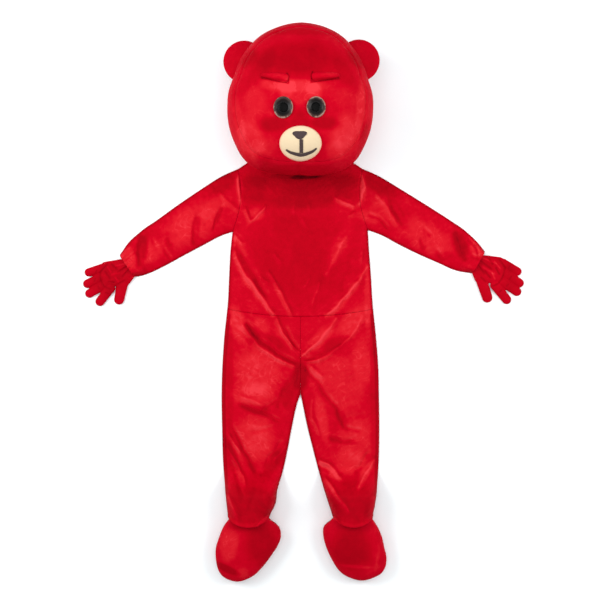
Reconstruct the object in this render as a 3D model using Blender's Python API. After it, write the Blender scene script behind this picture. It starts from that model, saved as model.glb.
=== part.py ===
"""Teddy bear costume laid flat: padded head, jumpsuit, two gloves and two shoes.

Metres, +Z up. The costume lies face up on the plane z = 0 with its head toward +Y.
Left and right are the wearer's, so the wearer's left side is at +X.
"""

import math
from functools import partial

import bmesh
import bpy
import numpy as np
from mathutils import Vector

# Walls and gaps
CLOTH = 0.002
SEAM_GAP = 0.0003
HEAD_WALL = 0.008
SHOE_WALL = 0.006
SHOE_SOLE = 0.010
ON_CLOTH = CLOTH + SEAM_GAP
EDGE_TOP = ON_CLOTH + CLOTH
# Puts the middle of the laid-out costume at the origin
CENTRING = Vector((0.0, -0.0025, 0.0))

# Jumpsuit
AXIS_X = -0.0105
WAIST_Y = -0.004
WAIST_SAG = 0.026
CROTCH_Y = -0.300
HEM_Y = -0.735
HEM_DIP = 0.034
LOFT = 0.014
LOFT_REACH = 0.055
CUFF_LOFT = 0.012
CUFF_REACH = 0.070
CUFF_ROUNDING = 0.015
ARMHOLE_CURVE = 0.020
ARMHOLE_SPANS = 8
PIT_SHARE = 0.55
NECK_RISE = 0.083
NECK_FRONT_DROP = 0.060
NECK_BACK_DROP = 0.015
NECK_HALF = 0.22
ZIP_WIDTH = 0.024
BODICE_WIDTH = 0.49
ARCH_HEIGHT = 0.100
ARCH_HALF = 0.070
ARCH_FULLNESS = 3.2
ARCH_START = -0.570
ARCH_FULL = -0.665

# Head
HEAD_CENTRE = Vector((-0.0105, 0.715, 0.190))
HEAD_FRONT = 0.180
HEAD_REAR = 0.215
HEAD_FULLNESS = 2.4
HEAD_TURN = math.radians(1.2)
SNOUT = Vector((-0.0105, 0.548, 0.018))
SNOUT_REACH = 0.070
FACE_SEAM = math.radians(59)
BACK_SEAM = math.radians(131)
HEAD_SPANS = 32
NECK_CHIN = Vector((AXIS_X, 0.470, 0.100))
NECK_NAPE = Vector((AXIS_X, 0.600, 0.000))
EAR_RADIUS = 0.0735
EAR_THICKNESS = 0.044
EAR_HEIGHT = 0.165

# Colours as the cloth shows in daylight
RED_VELVET = (0.57, 0.008, 0.020)
CREAM_PILE = (0.86, 0.70, 0.46)
BROWN_FELT = (0.035, 0.018, 0.016)
SMOKY_PLASTIC = (0.12, 0.085, 0.080)
BLACK_PLASTIC = (0.010, 0.010, 0.012)
ZIP_TAPE = (0.30, 0.006, 0.014)
SOLE_RUBBER = (0.25, 0.010, 0.018)


def table(columns, *rows):
    """Rows of numbers as one array for each named column."""
    return dict(zip(columns.split(), np.array(rows, float).T))


# Outer edges of bodice and legs, from the armpit down to the hem corner
SIDES = table(
    "y right left",
    (0.275, -0.2550, 0.2320),
    (0.209, -0.2620, 0.2360),
    (0.116, -0.2670, 0.2430),
    (0.029, -0.2710, 0.2480),
    (-0.114, -0.2850, 0.2620),
    (-0.229, -0.2920, 0.2700),
    (-0.308, -0.2940, 0.2715),
    (-0.437, -0.2920, 0.2730),
    (-0.545, -0.2890, 0.2710),
    (-0.617, -0.2840, 0.2670),
    (-0.689, -0.2770, 0.2590),
    (-0.735, -0.2715, 0.2500),
)

# Inner edges of the two legs, from the crotch down to the hem corner
INSEAMS = table(
    "y right left",
    (-0.300, -0.0110, -0.0100),
    (-0.330, -0.0210, -0.0040),
    (-0.416, -0.0400, 0.0130),
    (-0.502, -0.0560, 0.0340),
    (-0.588, -0.0745, 0.0560),
    (-0.660, -0.0945, 0.0765),
    (-0.702, -0.1000, 0.0900),
    (-0.735, -0.1170, 0.1010),
)

# Sleeve edges from the armhole (0) to the cuff (1): the shoulder side and the underarm side
SLEEVES = {
    "right": table(
        "along top_x top_y low_x low_y",
        (0.00, -0.234, 0.501, -0.255, 0.275),
        (0.15, -0.296, 0.473, -0.300, 0.259),
        (0.30, -0.364, 0.430, -0.355, 0.230),
        (0.50, -0.450, 0.372, -0.430, 0.190),
        (0.70, -0.529, 0.315, -0.500, 0.152),
        (0.85, -0.587, 0.274, -0.555, 0.126),
        (0.95, -0.635, 0.228, -0.590, 0.115),
        (1.00, -0.660, 0.191, -0.606, 0.113),
    ),
    "left": table(
        "along top_x top_y low_x low_y",
        (0.00, 0.211, 0.502, 0.232, 0.281),
        (0.15, 0.271, 0.475, 0.285, 0.261),
        (0.30, 0.343, 0.432, 0.340, 0.231),
        (0.50, 0.437, 0.374, 0.415, 0.194),
        (0.70, 0.526, 0.317, 0.490, 0.161),
        (0.85, 0.587, 0.274, 0.545, 0.137),
        (0.95, 0.632, 0.230, 0.582, 0.129),
        (1.00, 0.652, 0.204, 0.607, 0.126),
    ),
}

# Largest folds of the jumpsuit: a ridge (+) or trough (-) from one end to the other
FOLDS = table(
    "x0 y0 x1 y1 width height",
    (-0.246, 0.191, -0.120, -0.010, 0.020, 0.006),
    (0.239, 0.155, 0.120, -0.010, 0.020, 0.006),
    (-0.149, 0.390, -0.150, 0.300, 0.018, 0.005),
    (0.149, 0.380, 0.130, 0.290, 0.018, 0.005),
    (-0.015, -0.190, -0.200, -0.040, 0.020, 0.006),
    (-0.006, -0.190, 0.205, -0.045, 0.020, 0.006),
    (-0.015, -0.185, -0.090, 0.020, 0.022, 0.005),
    (-0.006, -0.185, 0.085, 0.030, 0.022, 0.005),
    (-0.020, -0.215, -0.110, -0.330, 0.020, 0.006),
    (0.000, -0.215, 0.095, -0.330, 0.020, 0.006),
    (-0.250, -0.430, -0.120, -0.490, 0.022, -0.006),
    (-0.100, -0.520, -0.240, -0.600, 0.022, 0.006),
    (0.230, -0.440, 0.090, -0.500, 0.022, -0.006),
    (0.090, -0.540, 0.220, -0.610, 0.022, 0.006),
    (-0.275, 0.300, -0.380, 0.390, 0.020, 0.006),
    (-0.330, 0.265, -0.480, 0.300, 0.018, -0.006),
    (-0.500, 0.180, -0.570, 0.250, 0.018, 0.006),
    (0.255, 0.300, 0.360, 0.390, 0.020, 0.006),
    (0.310, 0.265, 0.460, 0.300, 0.018, -0.006),
    (0.500, 0.190, 0.565, 0.245, 0.018, 0.006),
)

# Head outline seen from the front: half-width at a height above or below its centre
HEAD_OUTLINE = table(
    "rise half",
    (0.264, 0.000),
    (0.246, 0.086),
    (0.220, 0.136),
    (0.174, 0.182),
    (0.140, 0.205),
    (0.072, 0.231),
    (0.016, 0.248),
    (-0.025, 0.250),
    (-0.066, 0.248),
    (-0.107, 0.240),
    (-0.149, 0.224),
    (-0.204, 0.191),
    (-0.231, 0.157),
    (-0.252, 0.103),
    (-0.259, 0.000),
)

# Face: muzzle, felt nose and mouth, eyes and brows
MUZZLE_CENTRE = (-0.0105, 0.5480)
MUZZLE_HALF = (0.0700, 0.0546)
MUZZLE_PAD = 0.014
MUZZLE_EDGE = 0.004
SKIN_GAP = 0.0008
SNOUT_GAP = 0.0016
FELT = 0.0025
NOSE_CENTRE = (-0.0130, 0.5720)
NOSE_HALF = (0.0250, 0.0145)
NOSE_ROUND = 0.90
NOSE_POINT = 0.14
MOUTH_WIDTH = 0.010
MOUTH_SPANS = 18
STEM_WIDTH = 0.012
# Where the stem meets the mouth, as a share of the mouth's width above its middle line
STEM_REST = 0.80
# Middle line of the mouth from one corner to the other: one shallow smile
MOUTH = table(
    "along x y",
    (0.0, -0.0585, 0.5262),
    (1.0, -0.0446, 0.5180),
    (2.0, -0.0255, 0.5125),
    (3.0, -0.0079, 0.5100),
    (4.0, 0.0111, 0.5135),
    (5.0, 0.0310, 0.5215),
    (6.0, 0.0430, 0.5306),
)
EYES = {"right": (-0.0675, 0.6635), "left": (0.0410, 0.6645)}
EYE_HALF = {"right": (0.0325, 0.0360), "left": (0.0315, 0.0350)}
EYE_RIM = 0.007
EYE_FLOOR = 0.002
PUPIL_SHARE = 0.45
PUPIL_THICKNESS = 0.004
# Place, tilt in degrees and how much taller the brow is toward +X
BROWS = {"right": (-0.0960, 0.7663, -6, 0.34), "left": (0.0725, 0.7680, 1.5, -0.30)}
BROW_HALF = (0.0460, 0.0130)
BROW_HEIGHT = 0.012
BROW_EDGE = 0.003
BROW_SQUARENESS = 4
EARS = {"right": (-0.205, 0.854), "left": (0.191, 0.858)}
EAR_FULLNESS = 0.8

# Shoe outlines seen from above, round from the heel by the outer side and the toe
SHOES = {
    "right": table(
        "x y",
        (-0.196, -0.664),
        (-0.234, -0.678),
        (-0.248, -0.708),
        (-0.258, -0.740),
        (-0.284, -0.776),
        (-0.304, -0.825),
        (-0.313, -0.860),
        (-0.311, -0.903),
        (-0.300, -0.940),
        (-0.276, -0.963),
        (-0.233, -0.974),
        (-0.184, -0.957),
        (-0.148, -0.925),
        (-0.115, -0.882),
        (-0.090, -0.843),
        (-0.080, -0.811),
        (-0.087, -0.778),
        (-0.115, -0.754),
        (-0.147, -0.714),
        (-0.158, -0.678),
    ),
    "left": table(
        "x y",
        (0.176, -0.664),
        (0.214, -0.678),
        (0.228, -0.708),
        (0.240, -0.740),
        (0.263, -0.776),
        (0.279, -0.812),
        (0.288, -0.850),
        (0.296, -0.887),
        (0.292, -0.922),
        (0.270, -0.950),
        (0.215, -0.970),
        (0.165, -0.960),
        (0.130, -0.938),
        (0.103, -0.899),
        (0.080, -0.848),
        (0.070, -0.805),
        (0.074, -0.775),
        (0.098, -0.754),
        (0.128, -0.714),
        (0.138, -0.678),
    ),
}
ANKLES = {"right": Vector((-0.200, -0.724, 0.088)), "left": Vector((0.180, -0.724, 0.088))}
ANKLE_HALF = Vector((0.036, 0.044))
SHOE_WIDEST = 0.042
SHOE_SPANS = 24
SHOE_FULLNESS = 0.9
TUCK_END = 1.3
SOLE_TUCK = 0.006

# Glove fingers, from the root to the tip, with the radius at each end
GLOVES = {
    "right": table(
        "root_x root_y tip_x tip_y root_r tip_r",
        (-0.7250, 0.1430, -0.7715, 0.1290, 0.0160, 0.0145),
        (-0.7270, 0.1110, -0.7765, 0.0880, 0.0160, 0.0150),
        (-0.7160, 0.0850, -0.7690, 0.0530, 0.0165, 0.0150),
        (-0.6950, 0.0720, -0.7310, 0.0240, 0.0175, 0.0160),
        (-0.6510, 0.0870, -0.6625, 0.0310, 0.0200, 0.0175),
    ),
    "left": table(
        "root_x root_y tip_x tip_y root_r tip_r",
        (0.7180, 0.1620, 0.7690, 0.1320, 0.0160, 0.0150),
        (0.7230, 0.1280, 0.7765, 0.0905, 0.0165, 0.0155),
        (0.7120, 0.0980, 0.7675, 0.0595, 0.0170, 0.0155),
        (0.6900, 0.0820, 0.7305, 0.0310, 0.0180, 0.0160),
        (0.6420, 0.0960, 0.6610, 0.0385, 0.0200, 0.0180),
    ),
}
# Corners of each palm: wrist, knuckles and heel of the hand
PALMS = {
    "right": table(
        "x y r",
        (-0.6230, 0.1660, 0.0150),
        (-0.6055, 0.1400, 0.0150),
        (-0.7100, 0.1480, 0.0190),
        (-0.7080, 0.0960, 0.0180),
        (-0.6400, 0.1010, 0.0190),
    ),
    "left": table(
        "x y r",
        (0.6200, 0.1790, 0.0150),
        (0.6090, 0.1600, 0.0150),
        (0.7030, 0.1650, 0.0190),
        (0.7030, 0.1090, 0.0180),
        (0.6340, 0.1090, 0.0190),
    ),
}
GLOVE_CENTRE = 0.006
GLOVE_HALF = 0.008
GLOVE_SEAM = 0.007
GLOVE_GAP = 0.0008
GLOVE_LIFT = 0.001
# Where the glove comes down from inside the cuff to the floor, measured out of the cuff
WRIST_BENDS = (0.006, 0.036)
WRIST_OPENING = 0.040


def along(rows, column, at, key="y"):
    """A column's value at a key, on the smooth curve through the rows."""
    order = np.argsort(rows[key])
    keys = rows[key][order]
    values = rows[column][order]
    slopes = np.gradient(values, keys)
    place = int(np.clip(np.searchsorted(keys, at) - 1, 0, len(keys) - 2))
    span = keys[place + 1] - keys[place]
    t = float(np.clip((at - keys[place]) / span, 0, 1))
    start = values[place] * (1 + 2 * t) + span * slopes[place] * t
    end = values[place + 1] * (3 - 2 * t) - span * slopes[place + 1] * (1 - t)
    return float(start * (1 - t) ** 2 + end * t**2)


def smooth(value):
    """0 up to 0, 1 from 1 on, and an even rise between."""
    t = min(max(value, 0.0), 1.0)
    return t * t * (3 - 2 * t)


def dome(share, fullness=2.0):
    """Height of a rounded profile, 0 at its edge (share 0) and 1 at its middle (share 1)."""
    t = 1 - min(max(share, 0.0), 1.0)
    return (1 - t**fullness) ** (1 / fullness)


def spaced(count):
    """Shares from 0 to 1, closer together at both ends."""
    return [0.5 - 0.5 * math.cos(math.pi * i / count) for i in range(count + 1)]


def material(name, colour, roughness, metallic=0.0):
    made = bpy.data.materials.new(name)
    made.use_nodes = True
    shader = made.node_tree.nodes["Principled BSDF"]
    shader.inputs["Base Color"].default_value = (*colour, 1)
    shader.inputs["Roughness"].default_value = roughness
    shader.inputs["Metallic"].default_value = metallic
    made.diffuse_color = (*colour, 1)
    return made


def add_object(name, bm, surface, collection):
    bmesh.ops.remove_doubles(bm, verts=bm.verts, dist=1e-6)
    bmesh.ops.recalc_face_normals(bm, faces=bm.faces)
    mesh = bpy.data.meshes.new(name)
    bm.to_mesh(mesh)
    bm.free()
    mesh.shade_smooth()
    mesh.set_sharp_from_angle(angle=math.radians(40))
    if surface:
        mesh.materials.append(surface)
    made = bpy.data.objects.new(name, mesh)
    collection.objects.link(made)
    return made


def wall(name, outer, inner, surface, collection, closed=False):
    """A closed wall between two matching grids of points; closed joins its last column to its first."""
    bm = bmesh.new()
    grids = [[[bm.verts.new(p) for p in row] for row in grid] for grid in (outer, inner)]
    rows, columns = len(outer), len(outer[0])
    spans = columns if closed else columns - 1
    for grid in grids:
        for r in range(rows - 1):
            for c in range(spans):
                d = (c + 1) % columns
                bm.faces.new((grid[r][c], grid[r][d], grid[r + 1][d], grid[r + 1][c]))
    top, under = grids
    for r in (0, rows - 1):
        for c in range(spans):
            d = (c + 1) % columns
            bm.faces.new((top[r][c], top[r][d], under[r][d], under[r][c]))
    for c in () if closed else (0, columns - 1):
        for r in range(rows - 1):
            bm.faces.new((top[r][c], top[r + 1][c], under[r + 1][c], under[r][c]))
    bmesh.ops.dissolve_degenerate(bm, edges=bm.edges, dist=1e-6)
    return add_object(name, bm, surface, collection)


def slab(name, outline, low, high, surface, collection):
    """A flat piece with the given outline."""
    bm = bmesh.new()
    face = bm.faces.new([bm.verts.new((x, y, low)) for x, y in outline])
    raised = bmesh.ops.extrude_face_region(bm, geom=[face])["geom"]
    lifted = [v for v in raised if isinstance(v, bmesh.types.BMVert)]
    bmesh.ops.translate(bm, verts=lifted, vec=(0, 0, high - low))
    if len(bm.faces) == len(outline) + 1:
        bm.faces.new([v for v in bm.verts if v.co.z < (low + high) / 2])
    return add_object(name, bm, surface, collection)


def waist_line(x, sag):
    """Place of the waist seam, which sags in the middle."""
    return WAIST_Y - sag * (1 - ((x - AXIS_X) / 0.26) ** 2)


def armhole(side, share):
    """A point of the armhole seam, from the shoulder (0) to the armpit (1)."""
    rows = SLEEVES[side]
    toward_body = ARMHOLE_CURVE * math.sin(math.pi * share) * (1 if side == "right" else -1)
    x = rows["top_x"][0] + (rows["low_x"][0] - rows["top_x"][0]) * share + toward_body
    y = rows["top_y"][0] + (rows["low_y"][0] - rows["top_y"][0]) * share
    return x, y


def free_edges():
    """Segments of the seams that lie along the suit's outline."""
    lines = []
    for side in ("right", "left"):
        rows = SLEEVES[side]
        lines.append(list(zip(rows["top_x"], rows["top_y"])))
        lines.append(list(zip(rows["low_x"], rows["low_y"])))
        lines.append(list(zip(SIDES[side], SIDES["y"])))
        lines.append(list(zip(INSEAMS[side], INSEAMS["y"])))
    shoulder_right, shoulder_left = armhole("right", 0), armhole("left", 0)
    neck_y = shoulder_right[1] + NECK_RISE
    neck_right = shoulder_right[0] + (0.5 - NECK_HALF) * (shoulder_left[0] - shoulder_right[0])
    neck_left = shoulder_left[0] - (0.5 - NECK_HALF) * (shoulder_left[0] - shoulder_right[0])
    lines.append([shoulder_right, (neck_right, neck_y), (neck_left, neck_y), shoulder_left])
    starts = np.array([p for line in lines for p in line[:-1]])
    ends = np.array([p for line in lines for p in line[1:]])
    return starts, ends


def edge_distance(x, y):
    """Distance from a point of the suit to the nearest seam on its outline."""
    starts, ends = EDGES
    run = ends - starts
    t = np.sum((np.array((x, y)) - starts) * run, axis=1) / np.sum(run * run, axis=1)
    nearest = starts + run * np.clip(t, 0, 1)[:, None]
    return float(np.min(np.hypot(nearest[:, 0] - x, nearest[:, 1] - y)))


def fold_height(x, y):
    """Ridges and troughs of the folds at a point, each fading out toward its ends."""
    total = 0.0
    for x0, y0, x1, y1, width, height in zip(*FOLDS.values()):
        run = np.array((x1 - x0, y1 - y0))
        t = np.dot((x - x0, y - y0), run) / np.dot(run, run)
        aside = math.hypot(x - x0 - t * run[0], y - y0 - t * run[1])
        ends = smooth(4 * t + 0.5) * smooth(4 * (1 - t) + 0.5)
        total += height * ends * math.exp(-((aside / width) ** 2))
    return total


def cuff_middle(side):
    rows = SLEEVES[side]
    return (rows["top_x"][-1] + rows["low_x"][-1]) / 2, (rows["top_y"][-1] + rows["low_y"][-1]) / 2


def cuff_line(side):
    """Direction of the cuff's edge, from its underarm side to its shoulder side."""
    rows = SLEEVES[side]
    run = (rows["top_x"][-1] - rows["low_x"][-1], rows["top_y"][-1] - rows["low_y"][-1])
    return Vector(run).normalized()


def suit_height(x, y):
    """Height of the suit's upper face: low at its outline, lofted inside, arched over the shoes."""
    inside = edge_distance(x, y)
    away = min(math.dist((x, y), cuff_middle(side)) for side in SLEEVES)
    near_cuff = math.exp(-((away / CUFF_REACH) ** 4))
    reach = LOFT_REACH + (CUFF_ROUNDING - LOFT_REACH) * near_cuff
    fill = 1 - (1 - min(inside / reach, 1)) ** 2
    height = EDGE_TOP + (LOFT + fold_height(x, y) + CUFF_LOFT * near_cuff) * fill
    over_shoe = smooth((ARCH_START - y) / (ARCH_START - ARCH_FULL))
    return height + ARCH_HEIGHT * over_shoe * dome(inside / ARCH_HALF, ARCH_FULLNESS)


def upper_wall(name, grid, surface, collection):
    """A front panel: a cloth wall that follows the suit's upper face over a grid of plan points."""
    outer = [[Vector((x, y, suit_height(x, y))) for x, y in row] for row in grid]
    inner = [[p - Vector((0, 0, CLOTH)) for p in row] for row in outer]
    return wall(name, outer, inner, surface, collection)


def flat_wall(name, grid, surface, collection):
    """A back panel: a cloth wall that lies flat on the floor."""
    outer = [[Vector((x, y, CLOTH)) for x, y in row] for row in grid]
    inner = [[Vector((x, y, 0)) for x, y in row] for row in grid]
    return wall(name, outer, inner, surface, collection)


def bodice_side(side, v):
    """A point of the bodice's side: up the side seam, then up the armhole."""
    if v <= PIT_SHARE:
        top = armhole(side, 1)[1]
        y = WAIST_Y + (top - WAIST_Y) * v / PIT_SHARE
        return along(SIDES, side, y), y
    return armhole(side, 1 - (v - PIT_SHARE) / (1 - PIT_SHARE))


def bodice_grid(columns, side_rows, neck_drop, sag=0.0, first=0.0, last=1.0):
    """Plan points of a bodice panel, between two shares of its width."""
    shares = [PIT_SHARE * j / side_rows for j in range(side_rows)]
    shares += [PIT_SHARE + (1 - PIT_SHARE) * share for share in spaced(ARMHOLE_SPANS)]
    grid = []
    for v in shares:
        (x0, y0), (x1, y1) = bodice_side("right", v), bodice_side("left", v)
        x0, x1 = x0 + SEAM_GAP / 2, x1 - SEAM_GAP / 2
        row = []
        for share in spaced(columns):
            u = first + (last - first) * share
            x = x0 + (x1 - x0) * u
            y = y0 + (y1 - y0) * u + (waist_line(x, sag) + SEAM_GAP / 2 - WAIST_Y) * (1 - v) ** 2
            off_middle = abs(u - 0.5)
            rise = min(NECK_RISE * (0.5 - off_middle) / (0.5 - NECK_HALF), NECK_RISE)
            rise -= neck_drop * max(1 - (off_middle / NECK_HALF) ** 2, 0)
            row.append((x, y + rise * v**4))
        grid.append(row)
    return grid


def leg_grid(side, columns, rows, hem_dip=0.0, sag=0.0):
    """Plan points of a leg panel, from its outer edge to the centre front or the inseam."""
    inward = 1 if side == "right" else -1
    grid = []
    for j in range(rows + 1):
        v = j / rows
        y = WAIST_Y + (HEM_Y - WAIST_Y) * v
        outer = along(SIDES, side, y)
        inner = along(INSEAMS, side, y) if y < CROTCH_Y else AXIS_X
        inner -= inward * SEAM_GAP / 2
        row = []
        for u in spaced(columns):
            x = outer + (inner - outer) * u
            seam = (waist_line(x, sag) - SEAM_GAP / 2 - WAIST_Y) * (1 - v) ** 2
            row.append((x, y + seam - hem_dip * math.sin(math.pi * u) ** 0.8 * v**8))
        grid.append(row)
    return grid


def sleeve_point(side, share, across):
    """A plan point of a sleeve: along it from the armhole, and across from the shoulder side."""
    rows = SLEEVES[side]
    top = [along(rows, "top_" + axis, share, "along") for axis in "xy"]
    low = [along(rows, "low_" + axis, share, "along") for axis in "xy"]
    away = -1 if side == "right" else 1
    curve = ARMHOLE_CURVE * math.sin(math.pi * across) * (1 - share) ** 3
    x = top[0] + (low[0] - top[0]) * across - away * curve + away * SEAM_GAP / 2
    return x, top[1] + (low[1] - top[1]) * across


def sleeve(side, surface, collection):
    """One piece: a flattened tube with its seam under the arm."""
    outer, inner = [], []
    shares = spaced(ARMHOLE_SPANS)
    for j in range(16):
        share = j / 15
        edge = math.dist(sleeve_point(side, share, 0), sleeve_point(side, share, 1))
        inset = CLOTH / edge
        ring, core = [], []
        for across in shares:
            x, y = sleeve_point(side, share, across)
            ring.append(Vector((x, y, suit_height(x, y))))
            x, y = sleeve_point(side, share, inset + (1 - 2 * inset) * across)
            core.append(Vector((x, y, suit_height(x, y) - CLOTH)))
        for across in reversed(shares):
            x, y = sleeve_point(side, share, across)
            ring.append(Vector((x, y, 0)))
            x, y = sleeve_point(side, share, inset + (1 - 2 * inset) * across)
            core.append(Vector((x, y, CLOTH)))
        outer.append(ring)
        inner.append(core)
    return wall(f"sleeve_{side}", outer, inner, surface, collection, closed=True)


def jumpsuit(velvet, tape, collection):
    upper_wall("bodice_front", bodice_grid(16, 9, NECK_FRONT_DROP, WAIST_SAG), velvet, collection)
    half_zip = (ZIP_WIDTH / 2 + SEAM_GAP) / BODICE_WIDTH
    back = {"right": (0.0, 0.5 - half_zip), "left": (0.5 + half_zip, 1.0)}
    for side, (first, last) in back.items():
        grid = bodice_grid(4, 5, NECK_BACK_DROP, 0.0, first, last)
        flat_wall(f"bodice_back_{side}", grid, velvet, collection)
        front = leg_grid(side, 10, 20, HEM_DIP, WAIST_SAG)
        upper_wall(f"leg_front_{side}", front, velvet, collection)
        flat_wall(f"leg_back_{side}", leg_grid(side, 3, 16), velvet, collection)
        sleeve(side, velvet, collection)
    half_zip = ZIP_WIDTH / 2 / BODICE_WIDTH
    grid = bodice_grid(1, 5, NECK_BACK_DROP, 0.0, 0.5 - half_zip, 0.5 + half_zip)
    flat_wall("back_zip", grid, tape, collection)


def head_radius(angle):
    """Distance from the head's centre to its outline; the angle runs from the crown (0) to the chin."""
    angles = np.arctan2(HEAD_OUTLINE["half"], HEAD_OUTLINE["rise"])
    lengths = np.hypot(HEAD_OUTLINE["half"], HEAD_OUTLINE["rise"])
    return along({"angle": angles, "length": lengths}, "length", angle, "angle")


def snout(x, y):
    """How far the muzzle stands out of the face."""
    away = math.hypot(x - SNOUT.x, y - SNOUT.y) / SNOUT_REACH
    return SNOUT.z * math.exp(-(away**2))


def head_point(around, turn, inset=0.0):
    """A point of the head's skin: around from the crown, and turned from the face (0) to the back (pi)."""
    angle = around if around <= math.pi else 2 * math.pi - around
    reach = (head_radius(angle) - inset) * math.sin(turn) ** (2 / HEAD_FULLNESS)
    x = HEAD_CENTRE.x + reach * math.sin(around + HEAD_TURN)
    y = HEAD_CENTRE.y + reach * math.cos(around + HEAD_TURN)
    rise = abs(math.cos(turn)) ** (2 / HEAD_FULLNESS)
    if math.cos(turn) > 0:
        z = HEAD_CENTRE.z + (HEAD_FRONT - inset) * rise + snout(x, y)
    else:
        z = HEAD_CENTRE.z - (HEAD_REAR - inset) * rise
    return Vector((x, y, max(z, inset)))


def face_height(x, y):
    """Height of the face panel's outer side at a plan point."""
    aside, ahead = x - HEAD_CENTRE.x, y - HEAD_CENTRE.y
    around = (math.atan2(aside, ahead) - HEAD_TURN) % (2 * math.pi)
    share = min(math.hypot(aside, ahead) / head_radius(min(around, 2 * math.pi - around)), 1.0)
    return head_point(around, math.asin(share ** (HEAD_FULLNESS / 2))).z


def head_skin(first, last, rings, inset=0.0):
    rows = []
    for j in range(rings + 1):
        turn = first + (last - first) * j / rings
        rows.append([head_point(2 * math.pi * i / HEAD_SPANS, turn, inset) for i in range(HEAD_SPANS)])
    return rows


def head_panel(name, first, last, rings, surface, collection):
    outer = head_skin(first, last, rings)
    inner = head_skin(first, last, rings, HEAD_WALL)
    return wall(name, outer, inner, surface, collection, closed=True)


def neck_cutter(collection):
    """A block beyond the plane of the neck opening, which slants from the chin to the nape."""
    across = (NECK_NAPE - NECK_CHIN).normalized()
    out = Vector((0, across.z, -across.y))
    middle = (NECK_CHIN + NECK_NAPE) / 2
    bm = bmesh.new()
    bmesh.ops.create_cube(bm, size=1.0)
    for v in bm.verts:
        v.co = middle + Vector((v.co.x, 0, 0)) + across * v.co.y + out * (v.co.z + 0.5) * 0.5
    return add_object("neck_cutter", bm, None, collection)


def boolean(target, other, operation):
    modifier = target.modifiers.new(f"{operation} {other.name}", "BOOLEAN")
    modifier.operation = operation
    modifier.object = other
    modifier.solver = "EXACT"


def patch(name, centre, half, tilt, outline, profile, rings, spans, lift, surface, collection, wedge=0):
    """A piece laid on the face: rings round a centre, its underside on the face and raised by a profile."""
    outer, inner = [], []
    for j in range(rings + 1):
        share = j / rings
        top, bottom = [], []
        for i in range(spans):
            angle = 2 * math.pi * i / spans
            reach = share * outline(angle)
            a = half[0] * reach * math.cos(angle)
            b = half[1] * reach * math.sin(angle) * (1 + wedge * reach * math.cos(angle))
            x = centre[0] + a * math.cos(tilt) - b * math.sin(tilt)
            y = centre[1] + a * math.sin(tilt) + b * math.cos(tilt)
            base = face_height(x, y) + lift(x, y)
            bottom.append(Vector((x, y, base)))
            top.append(Vector((x, y, base + profile(share))))
        outer.append(top)
        inner.append(bottom)
    return wall(name, outer, inner, surface, collection, closed=True)


def whole(angle):
    return 1.0


def brow_outline(angle):
    """Blunt ends and nearly straight sides."""
    sides = abs(math.cos(angle)) ** BROW_SQUARENESS + abs(math.sin(angle)) ** BROW_SQUARENESS
    return sides ** (-1 / BROW_SQUARENESS)


def nose_outline(angle):
    """A rounded triangle with its point down."""
    return NOSE_ROUND + NOSE_POINT * math.sin(3 * angle)


def on_skin(x, y):
    return SKIN_GAP


def on_snout(x, y):
    return SNOUT_GAP


def muzzle_profile(share):
    return MUZZLE_EDGE + MUZZLE_PAD * dome(1 - share)


def on_muzzle(x, y):
    """Lift from the face to just above the muzzle patch."""
    aside = (x - MUZZLE_CENTRE[0]) / MUZZLE_HALF[0]
    ahead = (y - MUZZLE_CENTRE[1]) / MUZZLE_HALF[1]
    return SNOUT_GAP + muzzle_profile(math.hypot(aside, ahead)) + SEAM_GAP


def on_eye_floor(x, y):
    return SKIN_GAP + EYE_FLOOR + SEAM_GAP


def eye_profile(share):
    """A shallow cup: a flat floor, a rising side and a rounded rim."""
    if share > 0.97:
        return EYE_RIM * 0.5
    return EYE_FLOOR + (EYE_RIM - EYE_FLOOR) * smooth((share - PUPIL_SHARE) / (0.9 - PUPIL_SHARE))


def pupil_profile(share):
    return PUPIL_THICKNESS * (1 - 0.5 * share**2)


def brow_profile(share):
    return BROW_EDGE + (BROW_HEIGHT - BROW_EDGE) * dome(1 - share)


def felt_profile(share):
    return FELT


def ribbon(name, points, widths, surface, collection):
    """A felt strip laid on the muzzle along a line of plan points, with its width at each."""
    outer, inner = [], []
    for i, ((x, y), width) in enumerate(zip(points, widths)):
        before, after = points[max(i - 1, 0)], points[min(i + 1, len(points) - 1)]
        run = Vector((after[0] - before[0], after[1] - before[1])).normalized()
        top, bottom = [], []
        for across in (-0.5, 0.0, 0.5):
            px, py = x - run.y * width * across, y + run.x * width * across
            base = face_height(px, py) + on_muzzle(px, py)
            bottom.append(Vector((px, py, base)))
            top.append(Vector((px, py, base + FELT)))
        outer.append(top)
        inner.append(bottom)
    return wall(name, outer, inner, surface, collection)


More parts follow.
